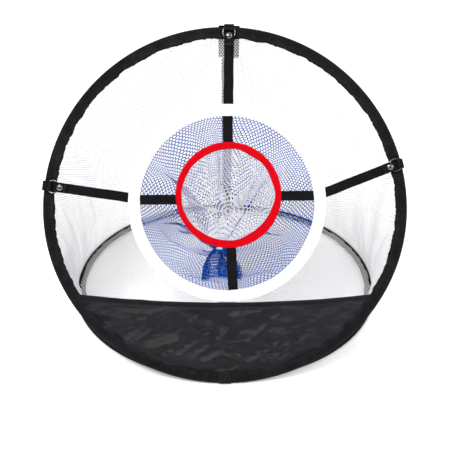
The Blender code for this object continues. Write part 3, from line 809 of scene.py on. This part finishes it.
class Pocket:
    """A net tube sewn to a ring, gathered in z-folds and tied near its far end. Its path is (share of the
    length, radius, sideways, up, behind the ring, tilt of the row in degrees, flatness), read from the
    ring to the tuft. The cut is longer on its upper side by skew, and narrower at its end by narrowing."""

    def __init__(self, ring, rim_inset, length, skew, narrowing, path, tied, ripple, pleats, swing, ragged,
                 seed):
        self.ring, self.length, self.skew, self.narrowing = ring, length, skew, narrowing
        self.path, self.tied, self.seed = np.array(path), tied, seed
        self.ripple, self.pleats, self.swing, self.ragged = ripple, pleats, swing, ragged
        self.girth = TAU * (ring.radius - rim_inset)
        self.share = np.linspace(0, 1, POCKET_ROWS)[:, None]
        self.cut_radius = (ring.radius - rim_inset) * (1 - narrowing * self.share)
        self.angle = (np.arange(POCKET_COLUMNS) * TAU / POCKET_COLUMNS)[None, :]

    def start(self):
        """Rows from the ring to the tuft, with the gathers already begun."""
        shares = self.path[:, 0]
        radius, across, rise, behind, tilt, flat = (
            np.interp(self.share, shares, self.path[:, k]) for k in range(1, 7))
        gather = np.clip(1 - radius / self.path[0, 1], 0, 1)
        fold = self.ripple * gather * ring_noise(self.angle, 31, self.seed + 1)
        loose = np.clip(np.abs(self.tied - self.share) / 0.12, 0, 1)
        radius = radius * (1 + fold * loose)
        slack = np.sqrt(np.maximum((self.cut_radius / radius) ** 2 - 1, 0))
        widest = 1.2 * math.pi / self.pleats
        swing = np.minimum(self.swing * slack * math.pi / 2 / self.pleats, widest) * loose
        swing = swing * (0.75 + 0.35 * ring_noise(self.angle, 5, self.seed + 4))
        phase = self.pleats * self.angle + 1.8 * ring_noise(self.angle + 0.2, 5, self.seed + 2)
        lift = 0.14 * radius * swing * np.cos(phase)
        swing = swing * np.sin(phase)
        out_x = (radius + lift) * np.cos(self.angle + swing)
        out_v = (radius + lift) * np.sin(self.angle + swing) * flat
        past_tie = np.clip((self.share - self.tied) / (1 - self.tied), 0, 1)
        rise = rise + self.ragged * past_tie * ring_noise(self.angle, 9, self.seed + 5)
        tilt = np.radians(tilt)
        return self.ring.place(self.ring.centre_x + across + out_x,
                               self.ring.centre_v + rise + out_v * np.cos(tilt),
                               -0.0010 - behind - out_v * np.sin(tilt))

    def cut(self):
        """The same rows as a straight tube, narrowing as the net was cut, and longer on its upper side."""
        x = self.ring.centre_x + self.cut_radius * np.cos(self.angle)
        v = self.ring.centre_v + self.cut_radius * np.sin(self.angle)
        return self.ring.place(x, v, -self.length * self.share * (1 + self.skew * np.sin(self.angle)))

    def lengthened(self, start, end):
        """The mean length of the cut between two shares of its girth, as a share of the length."""
        a, b = TAU * start, TAU * end
        return 1 + self.skew * (math.cos(a) - math.cos(b)) / (b - a)

    def settled(self, frames, gravity):
        start = self.start()
        held = (self.share < 1e-6) | (self.share > self.tied - 0.01)
        pinned = np.broadcast_to(held, start.shape[:2])
        return settle(start, self.cut(), pinned, True, frames, gravity, NET_BENDING)


def pocket_net(names, node, pocket, grid, cell, thread, depth, material, body, slot, long_cell=1.0):
    """The pocket's threads, in as many pieces as there are names. The first stands for the node."""
    lattice = Lattice(pocket.girth, pocket.length, cell, thread, True, long_cell)

    def surface(u, v):
        row = v / pocket.length * (POCKET_ROWS - 1)
        return sample(grid, row, u / pocket.girth * POCKET_COLUMNS, True)

    keep = np.ones((lattice.rows, lattice.columns), bool)
    share = np.broadcast_to((np.arange(lattice.columns) + 0.5) / lattice.columns, keep.shape)
    for i, name in enumerate(names):
        start, end = i / len(names), (i + 1) / len(names)
        own = (share >= start) & (share < end)
        piece = net_object(name, surface, normal_from(surface), lattice, keep, material, depth, own)
        set_on(piece, body, slot, *[node][i:])
        declare_net(lattice, keep & own,
                    pocket.lengthened(start, end))
        tuple(pocket.ring.place(pocket.ring.centre_x, pocket.ring.centre_v))
        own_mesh(piece)


BLUE_TIED = 0.80                     # how far along the pocket its tie is; the rest hangs below the tie
BLUE_PATH = [(0.00, 0.1275, 0.000, 0.000, 0.000, 0, 1.0), (0.10, 0.1140, 0.000, -0.001, 0.016, 0, 1.0),
             (0.25, 0.0930, -0.001, -0.004, 0.040, 0, 1.0), (0.42, 0.0690, -0.003, -0.011, 0.064, 0, 1.0),
             (0.58, 0.0470, -0.006, -0.026, 0.084, 4, 1.0), (0.70, 0.0270, -0.010, -0.048, 0.097, 12, 0.9),
             (BLUE_TIED, 0.0070, -0.012, -0.070, 0.104, 60, 0.9),
             (0.85, 0.0190, -0.011, -0.083, 0.103, 90, 0.35),
             (0.92, 0.0260, -0.009, -0.100, 0.098, 90, 0.25),
             (1.00, 0.0290, -0.008, -0.122, 0.090, 90, 0.18)]
INNER_TIED = 0.90
INNER_PATH = [(0.00, 0.0682, 0.000, 0.000, 0.000, 0, 1.0), (0.20, 0.0630, 0.000, -0.004, 0.020, 0, 1.0),
              (0.45, 0.0500, 0.000, -0.011, 0.038, 0, 1.0), (0.70, 0.0300, 0.000, -0.018, 0.050, 0, 1.0),
              (0.83, 0.0120, -0.001, -0.023, 0.055, 0, 1.0),
              (INNER_TIED, 0.0020, -0.001, -0.024, 0.058, 0, 1.0),
              (0.95, 0.0070, -0.002, -0.026, 0.064, 0, 1.0), (1.00, 0.0012, -0.003, -0.028, 0.070, 0, 0.6)]
BLUE_POCKET = Pocket(WHITE_RING, rim_inset=0.0140, length=0.262, skew=0.25, narrowing=0.5, path=BLUE_PATH,
                     tied=BLUE_TIED, ripple=0.25, pleats=6, swing=0.95, ragged=0.005, seed=71)
INNER_POCKET = Pocket(RED_RING, rim_inset=0.0075, length=0.105, skew=0.10, narrowing=0.3, path=INNER_PATH,
                      tied=INNER_TIED, ripple=0.25, pleats=5, swing=1.05, ragged=0.0, seed=83)
blue_grid = BLUE_POCKET.settled(frames=28, gravity=0.35)
inner_grid = INNER_POCKET.settled(frames=14, gravity=0.4)
pocket_net(["blue_pocket_mesh_a", "blue_pocket_mesh_b"], "blue_pocket_net", BLUE_POCKET, blue_grid,
           0.0050, 0.00120, 0.00045, BLUE_NET, "white_ring", "blue_net", long_cell=1.12)
pocket_net(["inner_pocket_mesh"], "inner_pocket_net", INNER_POCKET, inner_grid,
           0.0042, 0.00105, 0.00050, INNER_NET, "red_ring", "white_net")

# ---- Bands of webbing -----------------------------------------------------------------------------
SELVEDGE = [(-1.0, 0.35), (-0.96, 0.85), (-0.90, 1.15), (-0.82, 1.0), (-0.45, 0.94), (0.0, 0.96),
            (0.45, 0.94), (0.82, 1.0), (0.90, 1.15), (0.96, 0.85), (1.0, 0.35)]


def rounded(path, radius, steps=5):
    """A path of points with its corners rounded."""
    path = [np.asarray(point, float) for point in path]
    made = [path[0]]
    for before, corner, after in zip(path, path[1:], path[2:]):
        cut = min(radius, 0.49 * np.linalg.norm(corner - before), 0.49 * np.linalg.norm(after - corner))
        start = corner + cut * unit(before - corner)
        end = corner + cut * unit(after - corner)
        for i in range(steps + 1):
            t = i / steps
            made.append((1 - t) ** 2 * start + 2 * t * (1 - t) * corner + t ** 2 * end)
    made.append(path[-1])
    return np.array(made)


def resample(path, step):
    lengths = np.concatenate([[0], np.cumsum(np.linalg.norm(np.diff(path, axis=0), axis=1))])
    count = max(2, int(math.ceil(lengths[-1] / step)) + 1)
    places = np.union1d(np.linspace(0, lengths[-1], count), lengths)
    return np.stack([np.interp(places, lengths, path[:, k]) for k in range(3)], 1)


def band_object(name, path, side, half_width, thickness, material, corner=0.0012, step=0.0016,
                waver=0.0, seed=5):
    """A woven band along a path of points. side points across it, to its width."""
    centre = resample(rounded(path, corner), step)
    tangent = unit(np.gradient(centre, axis=0))
    side = unit(np.broadcast_to(np.asarray(side, float), centre.shape))
    up = unit(np.cross(tangent, side))
    travelled = np.concatenate([[0], np.cumsum(np.linalg.norm(np.diff(centre, axis=0), axis=1))])
    outline = SELVEDGE + [(x, -y) for x, y in reversed(SELVEDGE)]
    x = np.array([p[0] for p in outline])[None, :] * half_width
    y = np.array([p[1] for p in outline])[None, :] * thickness / 2
    swing = waver * value_noise(travelled / 0.018, np.zeros_like(travelled), seed)[:, None]
    curl = waver * 0.8 * value_noise(travelled / 0.012, np.ones_like(travelled), seed)[:, None]
    points = (centre[:, None] + (x + swing)[..., None] * side[:, None]
              + (y + curl * (x / half_width) ** 2)[..., None] * up[:, None])
    rows, columns = points.shape[:2]
    index, corner_rows, corner_columns = grid_faces(rows, columns, False, True)
    uv = stack(travelled[corner_rows], corner_columns * 4 * half_width / columns)
    uv = np.concatenate([uv.reshape(-1, 2), np.zeros((2 * columns, 2))])
    band = make_mesh(name, points, [index, *end_caps(rows, columns)], material, uv)
    return band


# ---- Straps, tabs, O-rings and press studs --------------------------------------------------------
WEBBING = 0.0010                     # thickness of the straps' and tabs' webbing
STRAP_HALF_WIDTH = 0.0070
O_RING_R = 0.0087
O_RING_WIRE_R = 0.0009
O_RING_HEIGHT = 0.0057               # of an O-ring's middle over the front hoop's middle plane
WELD_ANGLE = 1.1
STRAP_FOLD = 0.0010                  # where a strap turns back round its O-ring, from the ring's centre
STRAP_RISE = 0.0038                  # how high its lower layer is there
TAB_FOLD = 0.0020                    # where a tab turns back
LAYER = O_RING_HEIGHT + O_RING_WIRE_R + 0.0003 + WEBBING / 2    # height of the layers over an O-ring
LAYER_FACE = LAYER + WEBBING / 2 + 0.0001
# angles on the hoop or ring at a strap's outer and inner end, in degrees
OUTER_STRAPS = {"top": (88.7, 89.2), "left": (172.6, 176.8), "right": (14.5, 6.1)}
INNER_STRAPS = {"top": (89.5, 90.8), "left": (178.0, 185.4), "right": (4.7, -1.1), "bottom": (273.8, 272.7)}
# the O-ring's centre, in from the hoop's outer edge, and the press stud's distance from it
CLIPS = {"top": (0.0090, 0.0052), "left": (0.0137, 0.0103), "right": (0.0099, 0.0085)}
TOP_PATCH_ROOM = 0.0012              # the patch that lies between the top tab and the hoop
STITCH_REACH = 0.0056                # half the length of a row of stitches across a band


def turned_object(name, profile, centre, axis, sides, material):
    """A turned piece. profile is (radius, height) points from axis to axis."""
    axis = unit(axis)
    across = unit(np.cross(axis, np.array([0.3, 0.5, 0.8])))
    turn = (np.arange(sides) * TAU / sides)[:, None]
    way = np.cos(turn) * across + np.sin(turn) * np.cross(axis, across)
    points = np.array([centre + height * axis + radius * way for radius, height in profile])
    index = grid_faces(len(profile), sides, False, True)[0]
    return make_mesh(name, points, [index, *end_caps(len(profile), sides)], material)


def torus_object(name, centre, normal, radius, wire, material, sides=56, around=12):
    """A ring bent from wire, slightly thicker at its weld."""
    turn = (np.arange(sides) * TAU / sides)[:, None]
    round_it = (np.arange(around) * TAU / around)[None, :]
    way = np.cos(turn)[..., None] * X_AXIS + np.sin(turn)[..., None] * np.cross(normal, X_AXIS)
    wire = wire * (1 + 0.16 * np.exp(-((turn - WELD_ANGLE) / 0.06) ** 2))
    points = (centre + (radius + wire * np.cos(round_it))[..., None] * way
              + (wire * np.sin(round_it))[..., None] * normal)
    return make_mesh(name, points, [grid_faces(sides, around, True, True)[0]], material)


CAP_PROFILE = [(0.0002, 0.0), (0.0041, 0.0), (0.0045, 0.0003), (0.0045, 0.0007), (0.0042, 0.0010),
               (0.0036, 0.0011), (0.0034, 0.0012), (0.0030, 0.0015), (0.0022, 0.0018), (0.0012, 0.00195),
               (0.0003, 0.0020)]
SOCKET_PROFILE = [(0.0002, 0.0), (0.0038, 0.0), (0.0040, 0.0002), (0.0040, 0.0010), (0.0037, 0.0012),
                  (0.0024, 0.0012), (0.0021, 0.0010), (0.0019, 0.0004), (0.0003, 0.0004)]


def cross_stitches(centre, along, side, up, offsets):
    """Rows of stitches across a band, at distances along it."""
    runs = []
    places = np.arange(-STITCH_REACH, STITCH_REACH + 1e-6, 0.0022)
    for offset in offsets:
        centres = centre + offset * along + places[:, None] * side
        runs.append((centres, np.broadcast_to(side, centres.shape), up))
    return runs


def make_clip(place):
    """A tab round the hoop, its O-ring, the strap folded back on it, and the press stud on the fold."""
    hoop_angle, ring_angle = (math.radians(degrees) for degrees in OUTER_STRAPS[place])
    ring_inset, stud_from_ring = CLIPS[place]
    normal = FRONT_NORMAL
    centre = FRONT_HOOP.at(hoop_angle, ring_inset)
    outward = unit(FRONT_HOOP.at(hoop_angle) - centre)
    ring_edge = WHITE_RING.at(ring_angle)
    strap = unit(ring_edge - centre)
    length = float(np.linalg.norm(ring_edge - centre))
    under = TOP_PATCH_ROOM if place == "top" else 0.0

    def path(way, places):
        return [centre + a * way + b * normal for a, b in places]

    edge = ring_inset + 0.0006 + WEBBING / 2 + under
    back = -(HOOP_HALF + 0.0005 + WEBBING / 2 + under)
    tab_side = np.cross(outward, normal)
    tab_path = path(outward, [(TAB_FOLD, 0.0042), (TAB_FOLD, LAYER), (edge - 0.004, LAYER),
                              (edge, LAYER - 0.0012), (edge, back), (-0.0040, back)])
    tab = band_object(f"clip_tab_{place}", tab_path, tab_side, STRAP_HALF_WIDTH, WEBBING, BLACK_WEBBING)
    set_on(tab, "front", "black_webbing", f"hoop_tab_{place}")

    strap_side = np.cross(strap, normal)
    strap_path = path(strap, [(length + 0.0035, 0.0), (0.032, 0.0), (0.019, STRAP_RISE),
                              (STRAP_FOLD, STRAP_RISE), (STRAP_FOLD, LAYER), (0.0195, LAYER)])
    band = band_object(f"side_strap_{place}", strap_path, strap_side, STRAP_HALF_WIDTH, WEBBING,
                       BLACK_WEBBING, waver=0.0003, seed=len(place))
    set_across(band, centre + 0.035 * strap, centre + (length - 0.004) * strap,
               f"outer_strap_{place}")

    ring = torus_object(f"clip_ring_{place}", centre + O_RING_HEIGHT * normal, normal, O_RING_R,
                        O_RING_WIRE_R, NICKEL)
    set_on(ring, "front", "nickel", f"o_ring_{place}")
    stud = centre + stud_from_ring * strap
    cap = turned_object(f"stud_cap_{place}", CAP_PROFILE, stud + LAYER_FACE * normal, normal, 32, NICKEL)
    set_on(cap, "front", "nickel", f"snap_cap_{place}")
    socket = turned_object(f"stud_socket_{place}", SOCKET_PROFILE,
                           stud + (STRAP_RISE - WEBBING / 2 - 0.0001) * normal, -normal, 28, NICKEL)
    set_on(socket, "front", "nickel", f"snap_back_{place}")
    face = centre + LAYER_FACE * normal
    runs = cross_stitches(face, outward, tab_side, normal, (0.0048, 0.0062))
    runs += cross_stitches(face, strap, strap_side, normal, (0.0165, 0.0182))
    set_on(stitches_object(f"clip_stitching_{place}", runs, BLACK_THREAD), "front", "black_webbing")


for place in OUTER_STRAPS:
    make_clip(place)


def make_inner_strap(place):
    white_angle, red_angle = (math.radians(degrees) for degrees in INNER_STRAPS[place])
    start = WHITE_RING.at(white_angle, WHITE_RING.width - 0.0050, -0.0002)
    end = RED_RING.at(red_angle, 0.0030, -0.0002)
    along = unit(end - start)
    middle = (start + end) / 2 - 0.0012 * FRONT_NORMAL
    band = band_object(f"target_strap_{place}", [start, middle, end], np.cross(along, FRONT_NORMAL),
                       STRAP_HALF_WIDTH, WEBBING, BLACK_WEBBING, corner=0.02, waver=0.0003,
                       seed=3 + len(place))
    set_across(band, WHITE_RING.at(white_angle, WHITE_RING.width),
               RED_RING.at(red_angle), f"inner_strap_{place}")


for place in INNER_STRAPS:
    make_inner_strap(place)


# ---- Patches, tapes and label ---------------------------------------------------------------------
PATCH_THICKNESS = 0.0009
PATCH_TAIL = 0.038                   # how far the patch under the top tab runs down the net
TAPE_PLACE = -0.0032                 # the rear tape's middle, along the net from the back of the hoops


def make_top_patch():
    edge = FRONT_HOOP.at(math.radians(OUTER_STRAPS["top"][0]))
    outward = unit(edge - FRONT_HOOP.at(math.radians(OUTER_STRAPS["top"][0]), CLIPS["top"][0]))
    wall = 0.0003 + PATCH_THICKNESS / 2
    back = -(HOOP_HALF + wall)
    top, foot = tent_ends(math.pi / 2)
    fold = edge + wall * outward
    start = edge - FRONT_HOOP.width * outward + back * FRONT_NORMAL
    path = [fold + 0.0030 * FRONT_NORMAL, fold + back * FRONT_NORMAL, start,
            start + PATCH_TAIL * unit(foot - top)]
    patch = band_object("top_patch", path, np.cross(outward, FRONT_NORMAL), 0.015, PATCH_THICKNESS,
                        BLACK_WEBBING, waver=0.0002)
    set_on(patch, "front", "black_webbing", "top_anchor_patch")


def make_rear_tape():
    """The tape on the seam at the back of the net, from the patch down to the ground hoop."""
    top, foot = tent_ends(math.pi / 2)
    length = float(np.linalg.norm(foot - top))
    v = np.linspace(PATCH_TAIL + 0.0006, length - 0.002, 90)
    centre = tent_surface(math.pi / 2)(np.full_like(v, TAPE_PLACE), v)
    outward = unit(np.cross(X_AXIS, unit(np.gradient(centre, axis=0))))
    outward = np.where((outward @ np.array([0, 1, 1]))[:, None] < 0, -outward, outward)
    tape = band_object("rear_tape", centre + 0.0013 * outward, X_AXIS, 0.0085, WEBBING, BLACK_WEBBING,
                       corner=0.0001, step=0.004, waver=0.0004, seed=9)
    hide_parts("rear_centre_tape")
    angular_blend(tape)


def make_hinge_web():
    path = [(0.0, -0.2600 + a, b) for a, b in
            ((0.0062, 0.0150), (0.0050, 0.0115), (0.0064, 0.0082), (0.0108, 0.0076), (0.0134, 0.0057),
             (0.0200, 0.0057))]
    web = band_object("hinge_web", path, X_AXIS, 0.014, 0.0008, BLACK_WEBBING, corner=0.003)
    set_across(web, (0, -0.2465, 0.006), (0, -0.2545, 0.0105),
               "hoop_hinge_web")


def make_binding_overlap():
    """The front binding's end, lapped over its start at the hoop's foot, with a row of stitches each
    side."""
    path = [front_point(0.0, v, n) for v, n in
            ((0.0168, 0.0014), (0.0150, 0.0023), (0.0084, 0.0027), (0.0056, 0.0041), (0.0022, 0.0042),
             (0.0002, 0.0030))]
    lap = band_object("binding_lap", path, X_AXIS, 0.009, 0.0009, BLACK_BINDING, corner=0.002)
    set_on(lap, "front", "black_binding", "front_binding_overlap")
    v = np.arange(0.0032, 0.0160, 0.0024)
    height = np.interp(v, (0.0056, 0.0084, 0.0168), (0.0048, 0.0033, 0.0026))
    runs = []
    for x in (-0.0076, 0.0076):
        centres = front_point(np.full_like(v, x), v, height)
        runs.append((centres, np.broadcast_to(FRONT_UP, centres.shape), FRONT_NORMAL))
    set_on(stitches_object("binding_lap_stitching", runs, BLACK_THREAD), "front", "black_binding")


def make_seam_tab():
    middle = WHITE_RING.centre_x
    path = [front_point(middle, v, n) for v, n in
            ((0.1030, -0.0024), (0.1140, -0.0024), (0.1165, -0.0038), (0.1225, -0.0040))]
    tab = band_object("ring_tab", path, X_AXIS, 0.012, 0.0008, WHITE_BINDING, corner=0.003)
    set_across(tab, front_point(middle, 0.109), front_point(middle, 0.1175),
               "ring_seam_tab")


LABEL_ANGLES = (math.radians(114.2), math.radians(131.1))
LABEL_SECTION = [(0.0170, 0.0018), (0.0164, 0.0023), (0.0120, 0.0022), (0.0088, 0.0025), (0.0070, 0.0034),
                 (0.0056, 0.0041), (0.0035, 0.0043), (0.0014, 0.0041), (0.0006, 0.0036)]


def make_base_label():
    """The blank label laid on the ground hoop's binding. Its section is (inset, height) points."""
    angles = np.linspace(*LABEL_ANGLES, 60)
    section = np.array(LABEL_SECTION)
    loop = np.concatenate([section + (0, 0.00035), section[::-1] - (0, 0.00005)])
    points = BASE_HOOP.at(angles[:, None], loop[:, 0][None, :], loop[:, 1][None, :])
    length = float(angles[-1] - angles[0]) * BASE_HOOP.radius
    label = grid_object("blank_label", points, LABEL_CLOTH, length, 0.036, False, True)
    set_on(label, "base", "label_cloth", "base_label")
    close_ends(label.data, len(loop))


make_top_patch()
make_rear_tape()
make_hinge_web()
make_binding_overlap()
make_seam_tab()
make_base_label()


# ---- Front panel and its hem ----------------------------------------------------------------------
HEM_HEIGHT = 0.1153                  # the hem's middle line at the net's centre, up the front hoop
HEM_RISE = 0.0105                    # how much higher the line is at HEM_RISE_X
HEM_RISE_X = 0.199
HEM_WIDTH = 0.011
HEM_HALF = 0.0011                    # half its thickness
HEM_SEAM = 0.0094                    # its line of stitches, down from its top
PANEL_ROWS = 64
PANEL_COLUMNS = 190
PANEL_EDGE_INSET = 0.0100
PANEL_BENDING = 0.015
PANEL_SLACK = (1.030, 1.035)         # how much more cloth is cut than the opening takes, each way
PANEL_MIDDLE = 0.07
PANEL_REACH = (-0.0040, 0.0060)      # how far it may hang behind and before the hoop's middle plane
PANEL_SWELL = 0.0012
PANEL_CREASES = 1.35
# degrees, length, width and height of each kind of crease, with its seed
CREASES = ((-14, 0.050, 0.0170, 0.00170, 62), (12, 0.060, 0.0210, 0.00150, 63),
           (38, 0.040, 0.0130, 0.00090, 64), (-40, 0.020, 0.0075, 0.00040, 65),
           (5, 0.018, 0.0060, 0.00035, 66))


def hem_line(x):
    return HEM_HEIGHT + HEM_RISE * (x / HEM_RISE_X) ** 2


def hem_sway(x):
    """How far the hem stands off the front hoop's middle plane."""
    return 0.0007 * value_noise(x / 0.035, np.full_like(x, 0.4), 14)


def hoop_half_width(v, inset):
    share = (v - HOOP_LOWER_R) / (HOOP_LOWER_R - inset)
    return (HOOP_R - inset) * np.sqrt(1 - share * share)


def panel_grid():
    across = np.linspace(-0.985, 0.985, PANEL_COLUMNS)[None, :]
    down = np.linspace(0, 1, PANEL_ROWS)[:, None]
    reach = float(hoop_half_width(HEM_HEIGHT, PANEL_EDGE_INSET))
    first = math.asin((HEM_HEIGHT - HOOP_LOWER_R) / (HOOP_LOWER_R - PANEL_EDGE_INSET))
    angle = -math.pi / 2 + across * (math.pi / 2 + first)
    foot_x, foot_v = FRONT_HOOP.flat(angle, PANEL_EDGE_INSET)
    top_x = across * reach
    top_v = hem_line(top_x) - 0.0020
    x = top_x + (foot_x - top_x) * down
    v = top_v + (foot_v - top_v) * down
    n = 0.0016 * np.sin(math.pi * down) * value_noise(x / 0.05 + 3, v / 0.03, 41)
    return front_point(x, v, n), x, v


def crumple(x, v):
    """Height of the creases in the panel's cloth: folded ridges in three directions, and finer ones."""
    bend = 0.010 * value_noise(x / 0.07, v / 0.05, 61)
    total = 0.0
    for degrees, long, short, height, seed in CREASES:
        turn = math.radians(degrees)
        a = (x * math.cos(turn) + v * math.sin(turn)) / long
        b = (v * math.cos(turn) - x * math.sin(turn) + bend) / short
        total = total + PANEL_CREASES * height * (1 - 2 * np.abs(value_noise(a, b, seed)) ** 0.8)
    return total


def grid_area(points):
    along = points[1:] - points[:-1]
    across = points[:, 1:] - points[:, :-1]
    return float(np.linalg.norm(np.cross(along[:, :-1], across[:-1]), axis=-1).sum())


def make_panel(hem):
    start, x, v = panel_grid()
    cut = front_point(x * PANEL_SLACK[0], PANEL_MIDDLE + (v - PANEL_MIDDLE) * PANEL_SLACK[1])
    pinned = np.ones(start.shape[:2], bool)
    pinned[1:-1, 1:-1] = False
    settled = settle(start, cut, pinned, False, 26, 0.5, PANEL_BENDING)
    down = np.linspace(0, 1, PANEL_ROWS)[:, None]
    across = np.linspace(-1, 1, PANEL_COLUMNS)[None, :]
    inside = np.clip(6 * down * (1 - down), 0, 1) * np.clip(5 * (1 - across ** 2), 0, 1)
    off_plane = (settled - FRONT_FOOT) @ FRONT_NORMAL
    wanted = np.clip(off_plane, PANEL_REACH[0] * inside, PANEL_REACH[1])
    wanted = wanted + (crumple(x, v) + PANEL_SWELL) * inside
    settled = settled + (wanted - off_plane)[..., None] * FRONT_NORMAL
    width = float(np.abs(x).max()) * 2
    panel = grid_object("cloth_panel", settled, PANEL_CLOTH, HEM_HEIGHT, width)
    thick = panel.modifiers.new("Thickness", "SOLIDIFY")
    thick.thickness = 0.0004
    thick.offset = 0.0
    smooth = panel.modifiers.new("Smooth", "SUBSURF")
    smooth.levels = smooth.render_levels = 1
    set_on(panel, "front", "panel_cloth", "front_panel")
    flat = (float(np.ptp(cut[..., 0])), float(np.ptp(cut @ FRONT_UP)))
    grid_area(cut)


def make_hem():
    """The turned edge along the panel's top, and its seam, as the two pieces that go with the panel."""
    down = np.array([0.0, 0.0001, 0.0005, 0.0012, 0.0040, 0.0088, HEM_SEAM, 0.0100, HEM_WIDTH - 0.0003,
                     HEM_WIDTH])
    front = np.array([0.0, 0.6, 0.95, 1.15, 1.05, 1.0, 0.72, 1.0, 0.9, 0.0]) * HEM_HALF
    insets = np.concatenate([down, down[-2:0:-1]])
    heights = np.concatenate([front, -front[-2:0:-1]])
    across = np.linspace(-1, 1, 240)[:, None]
    reach = hoop_half_width(HEM_HEIGHT + 0.0095 - insets, FRONT_HOOP.width - 0.0040)[None, :]
    x = across * reach
    swell = 1 + 0.22 * value_noise(x / 0.011, np.full_like(x, 2.2), 15)
    unevenness = 0.0003 * value_noise(x / 0.02, np.full_like(x, 5.1), 16)
    points = front_point(x, hem_line(x) - insets + unevenness,
                         heights * swell + hem_sway(x) * (1 - across ** 6))
    hem = grid_object("panel_hem_fold", points, PANEL_CLOTH, 0.4, 0.024, False, True)
    set_on(hem, "front", "panel_cloth", "panel_hem")
    places = np.arange(-0.190, 0.190, STITCH_STEP)
    runs = []
    for side in (1, -1):
        centres = front_point(places, hem_line(places) - HEM_SEAM,
                              side * (HEM_HALF * 0.8 + 0.0001) + hem_sway(places))
        runs.append((centres, np.broadcast_to(X_AXIS, centres.shape), FRONT_NORMAL))
    seam = set_on(stitches_object("hem_stitching", runs, BLACK_THREAD), "front", "panel_cloth")
    return [hem, seam]


make_panel(make_hem())


# ---- Camera, light and floor ----------------------------------------------------------------------
CAMERA_DISTANCE = 0.955              # from the front hoop's centre
LENS = 53.5
SHIFT_UP = -0.0356
HOOP_CENTRE = front_point(0.0, HOOP_LOWER_R)
FLOOR_REACH = 6.0
FLOOR_LEVEL = -0.0002
FLOOR_GLOW = 0.26
LIGHT_TARGET = (0.0, -0.10, 0.15)
LIGHTS = {"key": ((-0.7, -1.2, 1.9), 0.7, 38.0), "fill": ((1.5, -1.0, 1.2), 1.2, 14.0),
          "rear": ((0.3, 1.4, 2.0), 1.4, 16.0)}    # place, size and power


def aim(thing, place, target):
    thing.location = place
    thing.rotation_euler = (Vector(target) - Vector(place)).to_track_quat("-Z", "Y").to_euler()


def make_camera():
    data = bpy.data.cameras.new("camera")
    data.lens = LENS
    data.sensor_width = 36.0
    data.shift_y = SHIFT_UP
    data.clip_start = 0.01
    camera = bpy.data.objects.new("camera", data)
    bpy.context.scene.collection.objects.link(camera)
    aim(camera, HOOP_CENTRE + CAMERA_DISTANCE * FRONT_NORMAL, HOOP_CENTRE)
    bpy.context.scene.camera = camera


def make_light(name, place, size, power):
    data = bpy.data.lights.new(name, "AREA")
    data.shape = "DISK"
    data.size = size
    data.energy = power
    light = bpy.data.objects.new(name, data)
    bpy.context.scene.collection.objects.link(light)
    aim(light, place, LIGHT_TARGET)


def make_floor():
    surface = Shader("studio_floor", 0.9, specular=0.0)
    surface.set("Base Color", (0.92, 0.92, 0.92, 1.0))
    surface.set("Emission Color", (1.0, 1.0, 1.0, 1.0))
    surface.set("Emission Strength", FLOOR_GLOW)
    points = [(x * FLOOR_REACH, y * FLOOR_REACH, FLOOR_LEVEL)
              for x, y in ((-1, -1), (1, -1), (1, 1), (-1, 1))]
    make_mesh("studio_floor", points, [np.array([[0, 1, 2, 3]])], surface.material)


def make_world():
    """A white studio, brighter behind the net and above it than on the camera's side."""
    world = bpy.data.worlds.new("studio")
    bpy.context.scene.world = world
    world.use_nodes = True
    tree = world.node_tree
    background = tree.nodes["Background"]
    way = tree.nodes.new("ShaderNodeTexCoord")
    split = tree.nodes.new("ShaderNodeSeparateXYZ")
    share = tree.nodes.new("ShaderNodeMapRange")
    share.inputs["From Min"].default_value = -1.0
    ramp = tree.nodes.new("ShaderNodeValToRGB")
    stops = ((0.20, (0.16, 0.16, 0.17, 1.0)), (0.62, (1.0, 1.0, 1.0, 1.0)))
    for element, (place, colour) in zip(ramp.color_ramp.elements, stops):
        element.position = place
        element.color = colour
    tree.links.new(way.outputs["Generated"], split.inputs[0])
    tree.links.new(split.outputs["Y"], share.inputs["Value"])
    tree.links.new(share.outputs["Result"], ramp.inputs["Fac"])
    tree.links.new(ramp.outputs["Color"], background.inputs["Color"])
    background.inputs["Strength"].default_value = 1.0


make_camera()
make_floor()
make_world()
for name, (place, size, power) in LIGHTS.items():
    make_light(name, place, size, power)
bpy.context.scene.view_settings.view_transform = "Standard"
